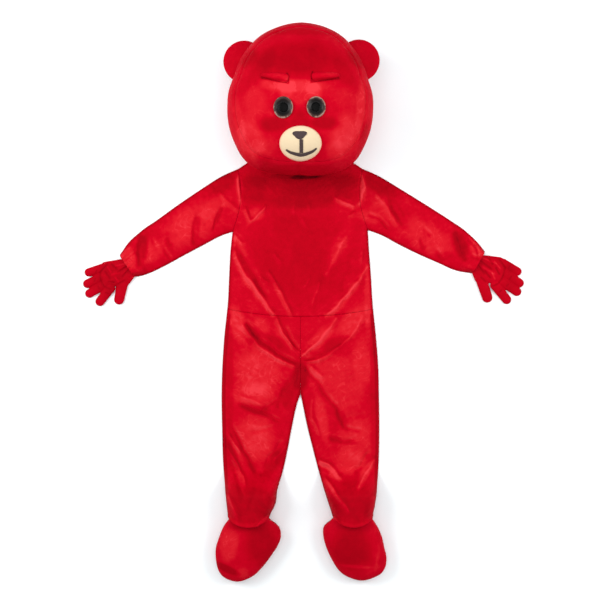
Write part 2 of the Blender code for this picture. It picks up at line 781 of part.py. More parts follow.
def head(velvet, cream, felt, smoky, black, collection, cutters):
    cutter = neck_cutter(cutters)
    cut = SEAM_GAP / HEAD_CENTRE.z / 2
    panels = (
        ("head_face", 0.0, FACE_SEAM - cut, 7),
        ("head_gusset", FACE_SEAM + cut, BACK_SEAM - cut, 7),
        ("head_back", BACK_SEAM + cut, math.pi, 4),
    )
    for name, first, last, rings in panels:
        boolean(head_panel(name, first, last, rings, velvet, collection), cutter, "DIFFERENCE")
    shape = head_skin(0.0, math.pi, 18, -SEAM_GAP)
    bm = bmesh.new()
    points = [[bm.verts.new(p) for p in row] for row in shape]
    for r in range(len(points) - 1):
        for i in range(HEAD_SPANS):
            k = (i + 1) % HEAD_SPANS
            bm.faces.new((points[r][i], points[r][k], points[r + 1][k], points[r + 1][i]))
    bmesh.ops.dissolve_degenerate(bm, edges=bm.edges, dist=1e-6)
    form = add_object("head_cutter", bm, None, cutters)
    for side, (x, y) in EARS.items():
        bm = bmesh.new()
        bmesh.ops.create_uvsphere(bm, u_segments=24, v_segments=8, radius=1.0)
        for v in bm.verts:
            rise = math.copysign(abs(v.co.z) ** EAR_FULLNESS, v.co.z) * EAR_THICKNESS / 2
            v.co = Vector((x + v.co.x * EAR_RADIUS, y + v.co.y * EAR_RADIUS, EAR_HEIGHT + rise))
        boolean(add_object(f"ear_{side}", bm, velvet, collection), form, "DIFFERENCE")
        laid = partial(patch, collection=collection)
        eye, half = EYES[side], EYE_HALF[side]
        laid(f"eye_cup_{side}", eye, half, 0, whole, eye_profile, 6, 16, on_skin, smoky)
        small = (half[0] * PUPIL_SHARE, half[1] * PUPIL_SHARE)
        laid(f"pupil_{side}", eye, small, 0, whole, pupil_profile, 2, 16, on_eye_floor, black)
        *brow, tilt, wedge = BROWS[side]
        sewn = partial(laid, f"brow_{side}", brow, BROW_HALF, math.radians(tilt), brow_outline)
        sewn(brow_profile, 4, 16, on_skin, velvet, wedge=wedge)
    laid("muzzle", MUZZLE_CENTRE, MUZZLE_HALF, 0, whole, muzzle_profile, 5, 24, on_snout, cream)
    laid("nose", NOSE_CENTRE, NOSE_HALF, 0, nose_outline, felt_profile, 3, 18, on_muzzle, felt)
    steps = np.linspace(MOUTH["along"][0], MOUTH["along"][-1], MOUTH_SPANS + 1)
    line = [(along(MOUTH, "x", s, "along"), along(MOUTH, "y", s, "along")) for s in steps]
    taper = [MOUTH_WIDTH * (0.5 + 0.5 * math.sin(math.pi * s / steps[-1])) for s in steps]
    ribbon("mouth", line, taper, felt, collection)
    middle = MOUTH_SPANS // 2
    x = line[middle][0]
    top = NOSE_CENTRE[1] - NOSE_HALF[1] * (NOSE_ROUND + NOSE_POINT) - SEAM_GAP
    bottom = line[middle][1] + MOUTH_WIDTH * STEM_REST
    stem = [(x, top + (bottom - top) * share) for share in (0.0, 0.25, 0.5, 0.75, 1.0)]
    ribbon("mouth_stem", stem, [STEM_WIDTH] * len(stem), felt, collection)


def shoe_ring(side, share, inset=0.0):
    """A ring of the upper: ankle opening (0), widest line (1), then tucked in to the sole (TUCK_END)."""
    rows, ankle = SHOES[side], ANKLES[side]
    count = len(rows["x"])
    loop = {"at": np.arange(-3, count + 4), "x": np.take(rows["x"], range(-3, count + 4), mode="wrap")}
    loop["y"] = np.take(rows["y"], range(-3, count + 4), mode="wrap")
    middle = Vector((float(np.mean(rows["x"])), float(np.mean(rows["y"]))))
    turn = min(share, 1.0) * math.pi / 2
    tuck = max(share - 1.0, 0.0) / (TUCK_END - 1.0)
    flip = -1 if side == "right" else 1
    ring = []
    for i in range(SHOE_SPANS):
        at = count * i / SHOE_SPANS
        edge = Vector((along(loop, "x", at, "at"), along(loop, "y", at, "at")))
        angle = math.pi / 2 - flip * 2 * math.pi * i / SHOE_SPANS
        mouth = Vector((ankle.x + ANKLE_HALF.x * math.cos(angle), ankle.y + ANKLE_HALF.y * math.sin(angle)))
        point = mouth + (edge - mouth) * math.sin(turn)
        inward = (middle - edge).normalized()
        point += inward * (inset * math.sin(turn) + SOLE_TUCK * tuck)
        low = ON_CLOTH + SHOE_SOLE + SEAM_GAP
        high = SHOE_WIDEST + (ankle.z - SHOE_WIDEST) * math.cos(turn) ** SHOE_FULLNESS
        z = high - inset * math.cos(turn)
        ring.append(Vector((point.x, point.y, z + (low - z) * tuck)))
    return ring


def shoe(side, velvet, rubber, collection):
    shares = [0.0, 0.16, 0.33, 0.5, 0.68, 0.85, 1.0, TUCK_END]
    outer = [shoe_ring(side, s) for s in shares]
    inner = [shoe_ring(side, s, SHOE_WALL) for s in shares]
    wall(f"shoe_upper_{side}", outer, inner, velvet, collection, closed=True)
    outline = [(p.x, p.y) for p in shoe_ring(side, TUCK_END)]
    slab(f"shoe_sole_{side}", outline, ON_CLOTH, ON_CLOTH + SHOE_SOLE, rubber, collection)


def hull_of_balls(name, balls, inset, surface, collection):
    """The convex skin round flattened balls, given as x, y and radius."""
    bm = bmesh.new()
    centre = GLOVE_CENTRE + (GLOVE_LIFT if inset else 0)
    half = GLOVE_HALF - (inset + GLOVE_LIFT if inset else 0)
    for x, y, radius in balls:
        for i in range(5):
            down = math.pi * i / 4
            for j in range(8):
                turn = math.pi * 2 * (j + 0.5) / 8
                reach = (radius - inset) * math.sin(down)
                flat = (x + reach * math.cos(turn), y + reach * math.sin(turn))
                bm.verts.new((*flat, centre + half * math.cos(down)))
    bmesh.ops.remove_doubles(bm, verts=bm.verts, dist=1e-6)
    bmesh.ops.convex_hull(bm, input=bm.verts)
    bmesh.ops.delete(bm, geom=[v for v in bm.verts if not v.link_faces], context="VERTS")
    return add_object(name, bm, surface, collection)


def box(name, low, high, collection):
    bm = bmesh.new()
    bmesh.ops.create_cube(bm, size=1.0)
    for v in bm.verts:
        v.co = Vector([low[k] if v.co[k] < 0 else high[k] for k in range(3)])
    return add_object(name, bm, None, collection)


def glove(side, velvet, collection, cutters):
    """A hollow hand with five fingers, open at the wrist, in a palm piece and a back piece."""
    palm = list(zip(*PALMS[side].values()))
    fingers = []
    for root_x, root_y, tip_x, tip_y, root_r, tip_r in zip(*GLOVES[side].values()):
        fingers.append([(root_x, root_y, root_r), (tip_x, tip_y, tip_r)])
    cuff, cuff_run = Vector(cuff_middle(side)), cuff_line(side)
    up_arm = Vector((-cuff_run.y, cuff_run.x)) * (1 if side == "left" else -1)
    mouth = [(x + up_arm.x * WRIST_OPENING, y + up_arm.y * WRIST_OPENING, r) for x, y, r in palm[:2]]
    skins, cores = [], []
    for i, (skin, core) in enumerate(zip([palm] + fingers, [palm + mouth] + fingers)):
        skins.append(hull_of_balls(f"glove_{side}_skin_{i}", skin, 0, None, cutters))
        cores.append(hull_of_balls(f"glove_{side}_core_{i}", core, CLOTH, None, cutters))
    xs = sorted((cuff.x * 0.5, cuff.x * 1.5))
    layers = {"palm": (0.0, GLOVE_SEAM - GLOVE_GAP / 2), "back": (GLOVE_SEAM + GLOVE_GAP / 2, 0.05)}
    for part, (low, high) in layers.items():
        whole_hand = add_object(f"glove_{part}_{side}", bmesh.new(), velvet, collection)
        whole_hand.data = skins[0].data.copy()
        whole_hand.data.materials.clear()
        whole_hand.data.materials.append(velvet)
        for skin in skins[1:]:
            boolean(whole_hand, skin, "UNION")
        for core in cores:
            boolean(whole_hand, core, "DIFFERENCE")
        layer = box(f"glove_{side}_{part}_layer", (xs[0], -0.5, low), (xs[1], 0.5, high), cutters)
        boolean(whole_hand, layer, "INTERSECT")
        bpy.context.view_layer.update()
        graph = bpy.context.evaluated_depsgraph_get()
        bm = bmesh.new()
        bm.from_mesh(bpy.data.meshes.new_from_object(whole_hand.evaluated_get(graph)))
        whole_hand.modifiers.clear()
        for reach in WRIST_BENDS:
            geometry = bm.verts[:] + bm.edges[:] + bm.faces[:]
            place = Vector((*(cuff - up_arm * reach), 0))
            bmesh.ops.bisect_plane(bm, geom=geometry, plane_co=place, plane_no=(*up_arm, 0))
        for v in bm.verts:
            away = (cuff - v.co.xy).dot(up_arm)
            share = (away - WRIST_BENDS[0]) / (WRIST_BENDS[1] - WRIST_BENDS[0])
            v.co.z += ON_CLOTH * (1 - min(max(share, 0.0), 1.0))
        bm.to_mesh(whole_hand.data)
        bm.free()


def main():
    for old in list(bpy.data.objects):
        bpy.data.objects.remove(old, do_unlink=True)
    pieces = bpy.data.collections.new("teddy_bear_costume")
    cutters = bpy.data.collections.new("cutters")
    for collection in (pieces, cutters):
        bpy.context.scene.collection.children.link(collection)
    velvet = material("red_velvet", RED_VELVET, 0.62)
    cream = material("cream_pile", CREAM_PILE, 0.85)
    felt = material("brown_felt", BROWN_FELT, 0.9)
    smoky = material("smoky_plastic", SMOKY_PLASTIC, 0.25)
    black = material("black_plastic", BLACK_PLASTIC, 0.2)
    tape = material("zip_tape", ZIP_TAPE, 0.8)
    rubber = material("sole_rubber", SOLE_RUBBER, 0.7)
    jumpsuit(velvet, tape, pieces)
    head(velvet, cream, felt, smoky, black, pieces, cutters)
    for side in ("right", "left"):
        shoe(side, velvet, rubber, pieces)
        glove(side, velvet, pieces, cutters)
    for piece in pieces.objects:
        piece.location = CENTRING
    for cutter in cutters.objects:
        cutter.location = CENTRING
        cutter.hide_render = True
        cutter.display_type = "WIRE"


EDGES = free_edges()
main()
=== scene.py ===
# %% [markdown]
# # Teddy bear costume laid flat
# A mascot costume lies on its back on a pale floor: a big padded head, a jumpsuit
# with long sleeves and legs, two gloves and two soft shoes, all in red velvet.
# The imported model gives the frame. Each of its plain solids is replaced here by a
# finer piece in the same place, with folds, seams, a nap and painted light and shade.

# %% Frame
import math

import bmesh
import bpy
import numpy as np
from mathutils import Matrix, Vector


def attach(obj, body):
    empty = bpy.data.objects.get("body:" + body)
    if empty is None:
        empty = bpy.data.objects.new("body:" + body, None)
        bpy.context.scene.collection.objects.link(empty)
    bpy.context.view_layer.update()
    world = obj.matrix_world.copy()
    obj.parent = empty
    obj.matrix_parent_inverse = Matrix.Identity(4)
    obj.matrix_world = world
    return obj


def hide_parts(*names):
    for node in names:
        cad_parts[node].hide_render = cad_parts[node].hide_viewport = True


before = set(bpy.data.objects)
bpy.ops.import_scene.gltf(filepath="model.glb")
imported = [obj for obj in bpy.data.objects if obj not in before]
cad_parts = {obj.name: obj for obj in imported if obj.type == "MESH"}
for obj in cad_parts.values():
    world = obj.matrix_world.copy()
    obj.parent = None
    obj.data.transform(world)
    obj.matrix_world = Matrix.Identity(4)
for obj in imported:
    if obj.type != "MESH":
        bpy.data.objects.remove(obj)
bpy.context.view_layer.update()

# %% [markdown]
# ## Measures
# The costume was drawn face up, in metres, with its head toward +Y. Left and right
# are the wearer's, so the wearer's left side is at +X. The outlines below are the
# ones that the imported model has, so each fine piece keeps to its solid, except that
# the chin sits eight millimetres higher, where the foam is pressed in.

# %% Values for the cut of the costume
CLOTH = 0.002
SEAM_GAP = 0.0003
HEAD_WALL = 0.008
SHOE_WALL = 0.006
SHOE_SOLE = 0.010
ON_CLOTH = CLOTH + SEAM_GAP
EDGE_TOP = ON_CLOTH + CLOTH
CENTRING = np.array((0.0, -0.0025, 0.0))
AXIS_X = -0.0105
WAIST_Y = -0.004
WAIST_SAG = 0.026
CROTCH_Y = -0.300
HEM_Y = -0.735
HEM_DIP = 0.034
LOFT = 0.014
LOFT_REACH = 0.055
CUFF_LOFT = 0.012
CUFF_REACH = 0.070
CUFF_ROUNDING = 0.015
ARMHOLE_CURVE = 0.020
PIT_SHARE = 0.55
NECK_RISE = 0.083
NECK_FRONT_DROP = 0.060
NECK_BACK_DROP = 0.015
NECK_HALF = 0.22
ARCH_HEIGHT = 0.100
ARCH_HALF = 0.070
ARCH_FULLNESS = 3.2
ARCH_START = -0.570
ARCH_FULL = -0.665
ZIP_WIDTH = 0.024


def table(columns, *rows):
    """Rows of numbers as one array for each named column."""
    return dict(zip(columns.split(), np.array(rows, float).T))


# Outer edges of bodice and legs, from the armpit down to the hem corner
SIDES = table(
    "y right left",
    (0.275, -0.2550, 0.2320),
    (0.209, -0.2620, 0.2360),
    (0.116, -0.2670, 0.2430),
    (0.029, -0.2710, 0.2480),
    (-0.114, -0.2850, 0.2620),
    (-0.229, -0.2920, 0.2700),
    (-0.308, -0.2940, 0.2715),
    (-0.437, -0.2920, 0.2730),
    (-0.545, -0.2890, 0.2710),
    (-0.617, -0.2840, 0.2670),
    (-0.689, -0.2770, 0.2590),
    (-0.735, -0.2715, 0.2500),
)
# Inner edges of the two legs, from the crotch down to the hem corner
INSEAMS = table(
    "y right left",
    (-0.300, -0.0110, -0.0100),
    (-0.330, -0.0210, -0.0040),
    (-0.416, -0.0400, 0.0130),
    (-0.502, -0.0560, 0.0340),
    (-0.588, -0.0745, 0.0560),
    (-0.660, -0.0945, 0.0765),
    (-0.702, -0.1000, 0.0900),
    (-0.735, -0.1170, 0.1010),
)
# Sleeve edges from the armhole (0) to the cuff (1): the shoulder side and the underarm side
SLEEVES = {
    "right": table(
        "along top_x top_y low_x low_y",
        (0.00, -0.234, 0.501, -0.255, 0.275),
        (0.15, -0.296, 0.473, -0.300, 0.259),
        (0.30, -0.364, 0.430, -0.355, 0.230),
        (0.50, -0.450, 0.372, -0.430, 0.190),
        (0.70, -0.529, 0.315, -0.500, 0.152),
        (0.85, -0.587, 0.274, -0.555, 0.126),
        (0.95, -0.635, 0.228, -0.590, 0.115),
        (1.00, -0.660, 0.191, -0.606, 0.113),
    ),
    "left": table(
        "along top_x top_y low_x low_y",
        (0.00, 0.211, 0.502, 0.232, 0.281),
        (0.15, 0.271, 0.475, 0.285, 0.261),
        (0.30, 0.343, 0.432, 0.340, 0.231),
        (0.50, 0.437, 0.374, 0.415, 0.194),
        (0.70, 0.526, 0.317, 0.490, 0.161),
        (0.85, 0.587, 0.274, 0.545, 0.137),
        (0.95, 0.632, 0.230, 0.582, 0.129),
        (1.00, 0.652, 0.204, 0.607, 0.126),
    ),
}
print(len(SIDES["y"]), "places down each side seam")

# %% [markdown]
# ## Helpers for curves and relief
# A sewn outline is a smooth line through a few measured places. The relief of cloth
# is a sum: the loft of the trapped air, long folds placed by hand, and small uneven
# ripples. All of it is worked out for whole arrays of points at once, which is quick
# enough for grids with cells of about four millimetres.

# %% Curves and relief


def along(rows, column, at, key="y"):
    """A column's values at the given keys, on the smooth curve through the rows."""
    order = np.argsort(rows[key])
    keys, values = rows[key][order], rows[column][order]
    slopes = np.gradient(values, keys)
    at = np.clip(np.asarray(at, float), keys[0], keys[-1])
    place = np.clip(np.searchsorted(keys, at) - 1, 0, len(keys) - 2)
    span = keys[place + 1] - keys[place]
    t = (at - keys[place]) / span
    start = values[place] * (1 + 2 * t) + span * slopes[place] * t
    end = values[place + 1] * (3 - 2 * t) - span * slopes[place + 1] * (1 - t)
    return start * (1 - t) ** 2 + end * t**2


def smooth(value):
    """0 up to 0, 1 from 1 on, and an even rise between."""
    t = np.clip(value, 0.0, 1.0)
    return t * t * (3 - 2 * t)


def dome(share, fullness=2.0):
    """Height of a rounded profile, 0 at its edge (share 0) and 1 at its middle (share 1)."""
    t = 1 - np.clip(share, 0.0, 1.0)
    return (1 - t**fullness) ** (1 / fullness)


def bump(distance, width):
    """A smooth ridge, 1 at distance 0 and falling to 0 on both sides."""
    return np.exp(-((distance / width) ** 2))


def ripple(x, y, size, seed):
    """Smooth uneven relief from -1 to 1, with bumps of the given size."""
    lattice = np.random.default_rng(seed).uniform(-1, 1, (64, 64))
    u, v = np.asarray(x) / size, np.asarray(y) / size
    i, j = np.floor(u).astype(int), np.floor(v).astype(int)
    f, g = smooth(u - i), smooth(v - j)
    corners = [lattice[(i + a) % 64, (j + b) % 64] for a in (0, 1) for b in (0, 1)]
    low = corners[0] * (1 - g) + corners[1] * g
    high = corners[2] * (1 - g) + corners[3] * g
    return low * (1 - f) + high * f


def nearest(lines, x, y):
    """Distance from each point to the nearest of some lines, and how far along them that is."""
    best = np.full(np.shape(x), np.inf)
    run_at = np.zeros(np.shape(x))
    for line in lines:
        travelled = 0.0
        for (ax, ay), (bx, by) in zip(line[:-1], line[1:]):
            run = np.array((bx - ax, by - ay))
            length = np.hypot(*run)
            if length < 1e-9:
                continue
            t = np.clip(((x - ax) * run[0] + (y - ay) * run[1]) / length**2, 0, 1)
            away = np.hypot(ax + t * run[0] - x, ay + t * run[1] - y)
            run_at = np.where(away < best, travelled + t * length, run_at)
            best = np.minimum(best, away)
            travelled += length
    return best, run_at


print("ripple at three places:", np.round(ripple(np.array((0.0, 0.1, 0.2)), 0.0, 0.03, 1), 2))

# %% [markdown]
# ## Meshes
# Every panel is a wall between an outer and an inner grid of points, closed at its
# edges, so that it has the thickness of real cloth or foam. A number on each point says
# which way the pile lies there and also carries painted light and shade: the velvet shows
# it as a lighter or a darker patch.

# %% Helpers that make a piece
PATCH_STRENGTH = 0.75
# A patch is even up to this share of its half size, then fades over the second share
PATCH_CORE = 0.5
PATCH_FADE = 0.8
DARKEST_TONE_AND_SHADE = -2.2
LIGHTEST_TONE_AND_LIGHT = 1.5
collection = bpy.data.collections.new("costume")
bpy.context.scene.collection.children.link(collection)


def pile_and_painted_patches(points, patches):
    """How light (+) or dark (-) each point is, from brushed pile and from painted light and shade."""
    total = np.zeros(len(points))
    for x, y, wide, high, tilt, strength in patches:
        turn = math.radians(tilt)
        dx, dy = points[:, 0] - x / 1000, points[:, 1] - y / 1000
        a = (dx * math.cos(turn) + dy * math.sin(turn)) * 1000 / wide
        b = (dy * math.cos(turn) - dx * math.sin(turn)) * 1000 / high
        total += PATCH_STRENGTH * strength * (1 - smooth((np.hypot(a, b) - PATCH_CORE) / PATCH_FADE))
    return total


def add_piece(name, bm, material, patches=(), pile_and_painted_light=None):
    """Makes an object from the bmesh, moves it to the costume's place and marks its nap and painted light.
    """
    bmesh.ops.remove_doubles(bm, verts=bm.verts, dist=1e-6)
    bmesh.ops.recalc_face_normals(bm, faces=bm.faces)
    mesh = bpy.data.meshes.new(name)
    bm.to_mesh(mesh)
    bm.free()
    points = np.empty(len(mesh.vertices) * 3)
    mesh.vertices.foreach_get("co", points)
    points = points.reshape(-1, 3)
    tone_and_painted_light = mesh.attributes.new("tone_and_painted_light", "FLOAT", "POINT")
    lean_and_painted_light = pile_and_painted_patches(points, patches)
    # Painted light and shade from the piece's own function: lit crests and slopes, shaded troughs, seams,
    # edges and creases
    if pile_and_painted_light:
        lean_and_painted_light = lean_and_painted_light + pile_and_painted_light(points[:, 0], points[:, 1])
    tone_and_painted_light.data.foreach_set("value", np.clip(lean_and_painted_light, DARKEST_TONE_AND_SHADE, LIGHTEST_TONE_AND_LIGHT).astype(np.float32))
    mesh.vertices.foreach_set("co", (points + CENTRING).ravel())
    mesh.shade_smooth()
    mesh.materials.append(material)
    made = bpy.data.objects.new(name, mesh)
    collection.objects.link(made)
    return made


def dress(piece, slot, *nodes):
    """Rides the piece on the costume's one body, in place of the named solids."""
    piece.name += "_" + slot.split("_")[1]
    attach(piece, "root")
    if nodes:
        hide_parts(*nodes)
    print(f"{piece.name}: {len(piece.data.polygons)} faces")
    return piece


print("pieces are gathered in", collection.name)

# %% Closed forms from grids of points


def wall_mesh(outer, inner, closed=False):
    """A closed wall between two matching grids of points; closed joins its last column to its first."""
    rows, columns = outer.shape[:2]
    points = np.concatenate([outer.reshape(-1, 3), inner.reshape(-1, 3)])
    at = np.arange(rows * columns).reshape(rows, columns)
    nxt = np.roll(at, -1, axis=1)
    spans = slice(None) if closed else slice(0, columns - 1)
    under = rows * columns
    here, there = at[:, spans], nxt[:, spans]
    sides = np.stack([here[:-1], there[:-1], there[1:], here[1:]], axis=-1).reshape(-1, 4)
    faces = [sides, sides[:, ::-1] + under]
    for r in (0, rows - 1):
        faces.append(np.stack([here[r], there[r], there[r] + under, here[r] + under], axis=-1))
    for c in () if closed else (0, columns - 1):
        rim = [at[:-1, c], at[1:, c], at[1:, c] + under, at[:-1, c] + under]
        faces.append(np.stack(rim, axis=-1))
    return closed_bmesh(points, np.concatenate(faces))


def closed_bmesh(points, faces):
    """A bmesh of the points and faces, with points in one place merged."""
    mesh = bpy.data.meshes.new("form")
    mesh.from_pydata(points.tolist(), [], faces.tolist())
    bm = bmesh.new()
    bm.from_mesh(mesh)
    bpy.data.meshes.remove(mesh)
    bmesh.ops.remove_doubles(bm, verts=bm.verts, dist=1e-6)
    bmesh.ops.dissolve_degenerate(bm, edges=bm.edges, dist=1e-7)
    return bm


def ring_form(grid):
    """A closed form from rings of points, the first and the last ring each at a pole."""
    rows, columns = grid.shape[:2]
    at = np.arange(rows * columns).reshape(rows, columns)
    nxt = np.roll(at, -1, axis=1)
    faces = np.stack([at[:-1], nxt[:-1], nxt[1:], at[1:]], axis=-1).reshape(-1, 4)
    bm = closed_bmesh(grid.reshape(-1, 3), faces)
    bmesh.ops.recalc_face_normals(bm, faces=bm.faces)
    return bm


square = np.array((((0, 0, 1), (1, 0, 1)), ((0, 1, 1), (1, 1, 1))), float)
box = wall_mesh(square, square - (0, 0, 1))
print("a wall of one cell is a box of", len(box.faces), "faces")
box.free()

# %% [markdown]
# ## Helpers for materials
# Colours are written as the sRGB hex values that a colour picker shows and turned to
# linear light by one function. One more function adds any node with its settings and
# links. The size of each pattern is given in millimetres, as it could be measured on the
# real cloth, and its scale is worked out from that.

# %% Helpers for materials
SCALE_AND_ADD = {"operation": "MULTIPLY_ADD"}


def linear(colour, alpha=1.0):
    """An sRGB hex colour as linear red, green, blue and alpha."""
    parts = [int(colour[i : i + 2], 16) / 255 for i in (1, 3, 5)]
    return [p / 12.92 if p <= 0.04045 else ((p + 0.055) / 1.055) ** 2.4 for p in parts] + [alpha]


def node(tree, kind, settings=(), sockets=(), stops=()):
    """A shader node with its settings, values or links for its sockets, and a ramp's hex colours."""
    made = tree.nodes.new("ShaderNode" + kind)
    for name, value in dict(settings).items():
        setattr(made, name, value)
    for key, value in dict(sockets).items():
        if isinstance(value, bpy.types.NodeSocket):
            tree.links.new(value, made.inputs[key])
        else:
            made.inputs[key].default_value = value
    for _ in stops[2:]:
        made.color_ramp.elements.new(0.5)
    for number, (place, colour) in enumerate(stops):
        made.color_ramp.elements[number].position = place
        made.color_ramp.elements[number].color = linear(colour)
    return made


def pattern(place, size_mm, detail=2.0, rough=0.5, warp=0.0):
    """Sockets of a noise whose blotches are about this many millimetres across."""
    sockets = {"Vector": place, "Scale": 1000 / size_mm, "Detail": detail}
    return sockets | {"Roughness": rough, "Distortion": warp}


def surface(name, roughness, ior=1.5):
    """A new material with its node tree, its shader and the object's own coordinates."""
    made = bpy.data.materials.new(name)
    made.use_nodes = True
    tree = made.node_tree
    shader = tree.nodes["Principled BSDF"]
    shader.inputs["Roughness"].default_value = roughness
    shader.inputs["IOR"].default_value = ior
    return made, tree, shader, node(tree, "TexCoord").outputs["Object"]


def mottled(tree, blotches, *stops):
    """A ramp's colours spread in the blotches of a noise, given by its sockets."""
    share = node(tree, "TexNoise", {}, blotches).outputs["Fac"]
    return node(tree, "ValToRGB", {}, {"Fac": share}, stops).outputs["Color"]


def finish(tree, shader, colour, height, depth_mm, strength):
    """Links the colour, and a relief of the given depth, to the shader."""
    relief = {"Height": height, "Distance": depth_mm / 1000, "Strength": strength}
    tree.links.new(colour, shader.inputs["Base Color"])
    tree.links.new(node(tree, "Bump", {}, relief).outputs["Normal"], shader.inputs["Normal"])


print("bright velvet red in linear light:", [round(v, 3) for v in linear("#E1202C")])

# %% [markdown]
# ## Red velvet
# The costume's cloth is polyester knit velvet: a short dense pile, sheared even, which
# stands on a knitted ground. Where a hand has brushed the pile it leans another way and
# shows as a lighter or darker patch with a fairly crisp edge. Where the cloth was creased
# it keeps thin pale crush lines. Deep in a fold the ramp gives a nearly black painted shade,
# and on crests and lit slopes a painted highlight. The ramp below turns the number on the
# mesh, which holds the nap and painted light and shade, plus uneven noise into those
# shades. Sheen gives the pale glow of
# pile seen edge on. Real pile fibres are 0.02 mm thick, far too fine to show, so the grain
# is drawn as tufts of about 1.5 mm.

# %% Red velvet
# Reds from a painted shade deep in a crease, through the pile's own reds, up to a painted highlight where
# the pile faces the light, with their places on the ramp
VELVET_REDS_AND_PAINTED_LIGHT = (
    (0.12, "#4E0008"), (0.34, "#980011"), (0.44, "#980011"), (0.57, "#AA0015"),
    (0.69, "#B8001B"), (0.84, "#C51825"), (0.98, "#D4303A"),
)
VELVET_GLOW = "#E00010"
CRUSH_WIDTH = 0.022


def velvet():
    """Pile whose shade follows the number on the mesh, nap with painted light and shade, broken up by noise
    and crush lines.
    """
    made, tree, shader, place = surface("red_polyester_velvet", 0.62)
    tone_and_painted_light = node(tree, "Attribute", {"attribute_name": "tone_and_painted_light"}).outputs["Fac"]
    broad = node(tree, "TexNoise", {}, pattern(place, 70, 3, 0.55, 0.6)).outputs["Fac"]
    small = node(tree, "TexNoise", {}, pattern(place, 16, 3, 0.6, 0.3)).outputs["Fac"]
    tufts = node(tree, "TexNoise", {}, pattern(place, 1.5, 2, 0.7)).outputs["Fac"]
    # The brushed patches and the painted light and shade, pulled about by the two larger noises
    uneven = node(tree, "Math", SCALE_AND_ADD, {0: broad, 1: 0.9, 2: -0.45}).outputs[0]
    ragged = node(tree, "Math", SCALE_AND_ADD, {0: small, 1: 0.55, 2: uneven}).outputs[0]
    patches = node(tree, "Math", {"operation": "ADD"}, {0: tone_and_painted_light, 1: ragged}).outputs[0]
    # Crush lines: where a warped noise crosses its middle value, and only where the pile is light
    crush = node(tree, "TexNoise", {}, pattern(place, 55, 1.5, 0.5, 1.4)).outputs["Fac"]
    past_middle = node(tree, "Math", {"operation": "SUBTRACT"}, {0: crush, 1: 0.5}).outputs[0]
    away = node(tree, "Math", {"operation": "ABSOLUTE"}, {0: past_middle}).outputs[0]
    on_line = {"Value": away, "From Min": 0.0, "From Max": CRUSH_WIDTH, "To Min": 1.0, "To Max": 0.0}
    line = node(tree, "MapRange", {"interpolation_type": "SMOOTHSTEP"}, on_line).outputs[0]
    on_light = {"Value": patches, "From Min": -0.1, "From Max": 0.7, "To Max": 0.38}
    shown = node(tree, "MapRange", {}, on_light).outputs[0]
    pile_and_painted_light = node(tree, "Math", SCALE_AND_ADD, {0: line, 1: shown, 2: patches}).outputs[0]
    share = node(tree, "MapRange", {}, {"Value": pile_and_painted_light, "From Min": -2.4, "From Max": 1.7}).outputs[0]
    grain = node(tree, "Math", SCALE_AND_ADD, {0: tufts, 1: 0.03, 2: share}).outputs[0]
    colour = node(tree, "ValToRGB", {}, {"Fac": grain}, VELVET_REDS_AND_PAINTED_LIGHT).outputs["Color"]
    shader.inputs["Sheen Weight"].default_value = 0.02
    shader.inputs["Sheen Roughness"].default_value = 0.35
    shader.inputs["Sheen Tint"].default_value = linear(VELVET_GLOW)
    shader.inputs["Specular IOR Level"].default_value = 0.02
    finish(tree, shader, colour, tufts, 0.5, 0.25)
    return made


red_velvet = velvet()
print("made", red_velvet.name, "with", len(red_velvet.node_tree.nodes), "nodes")
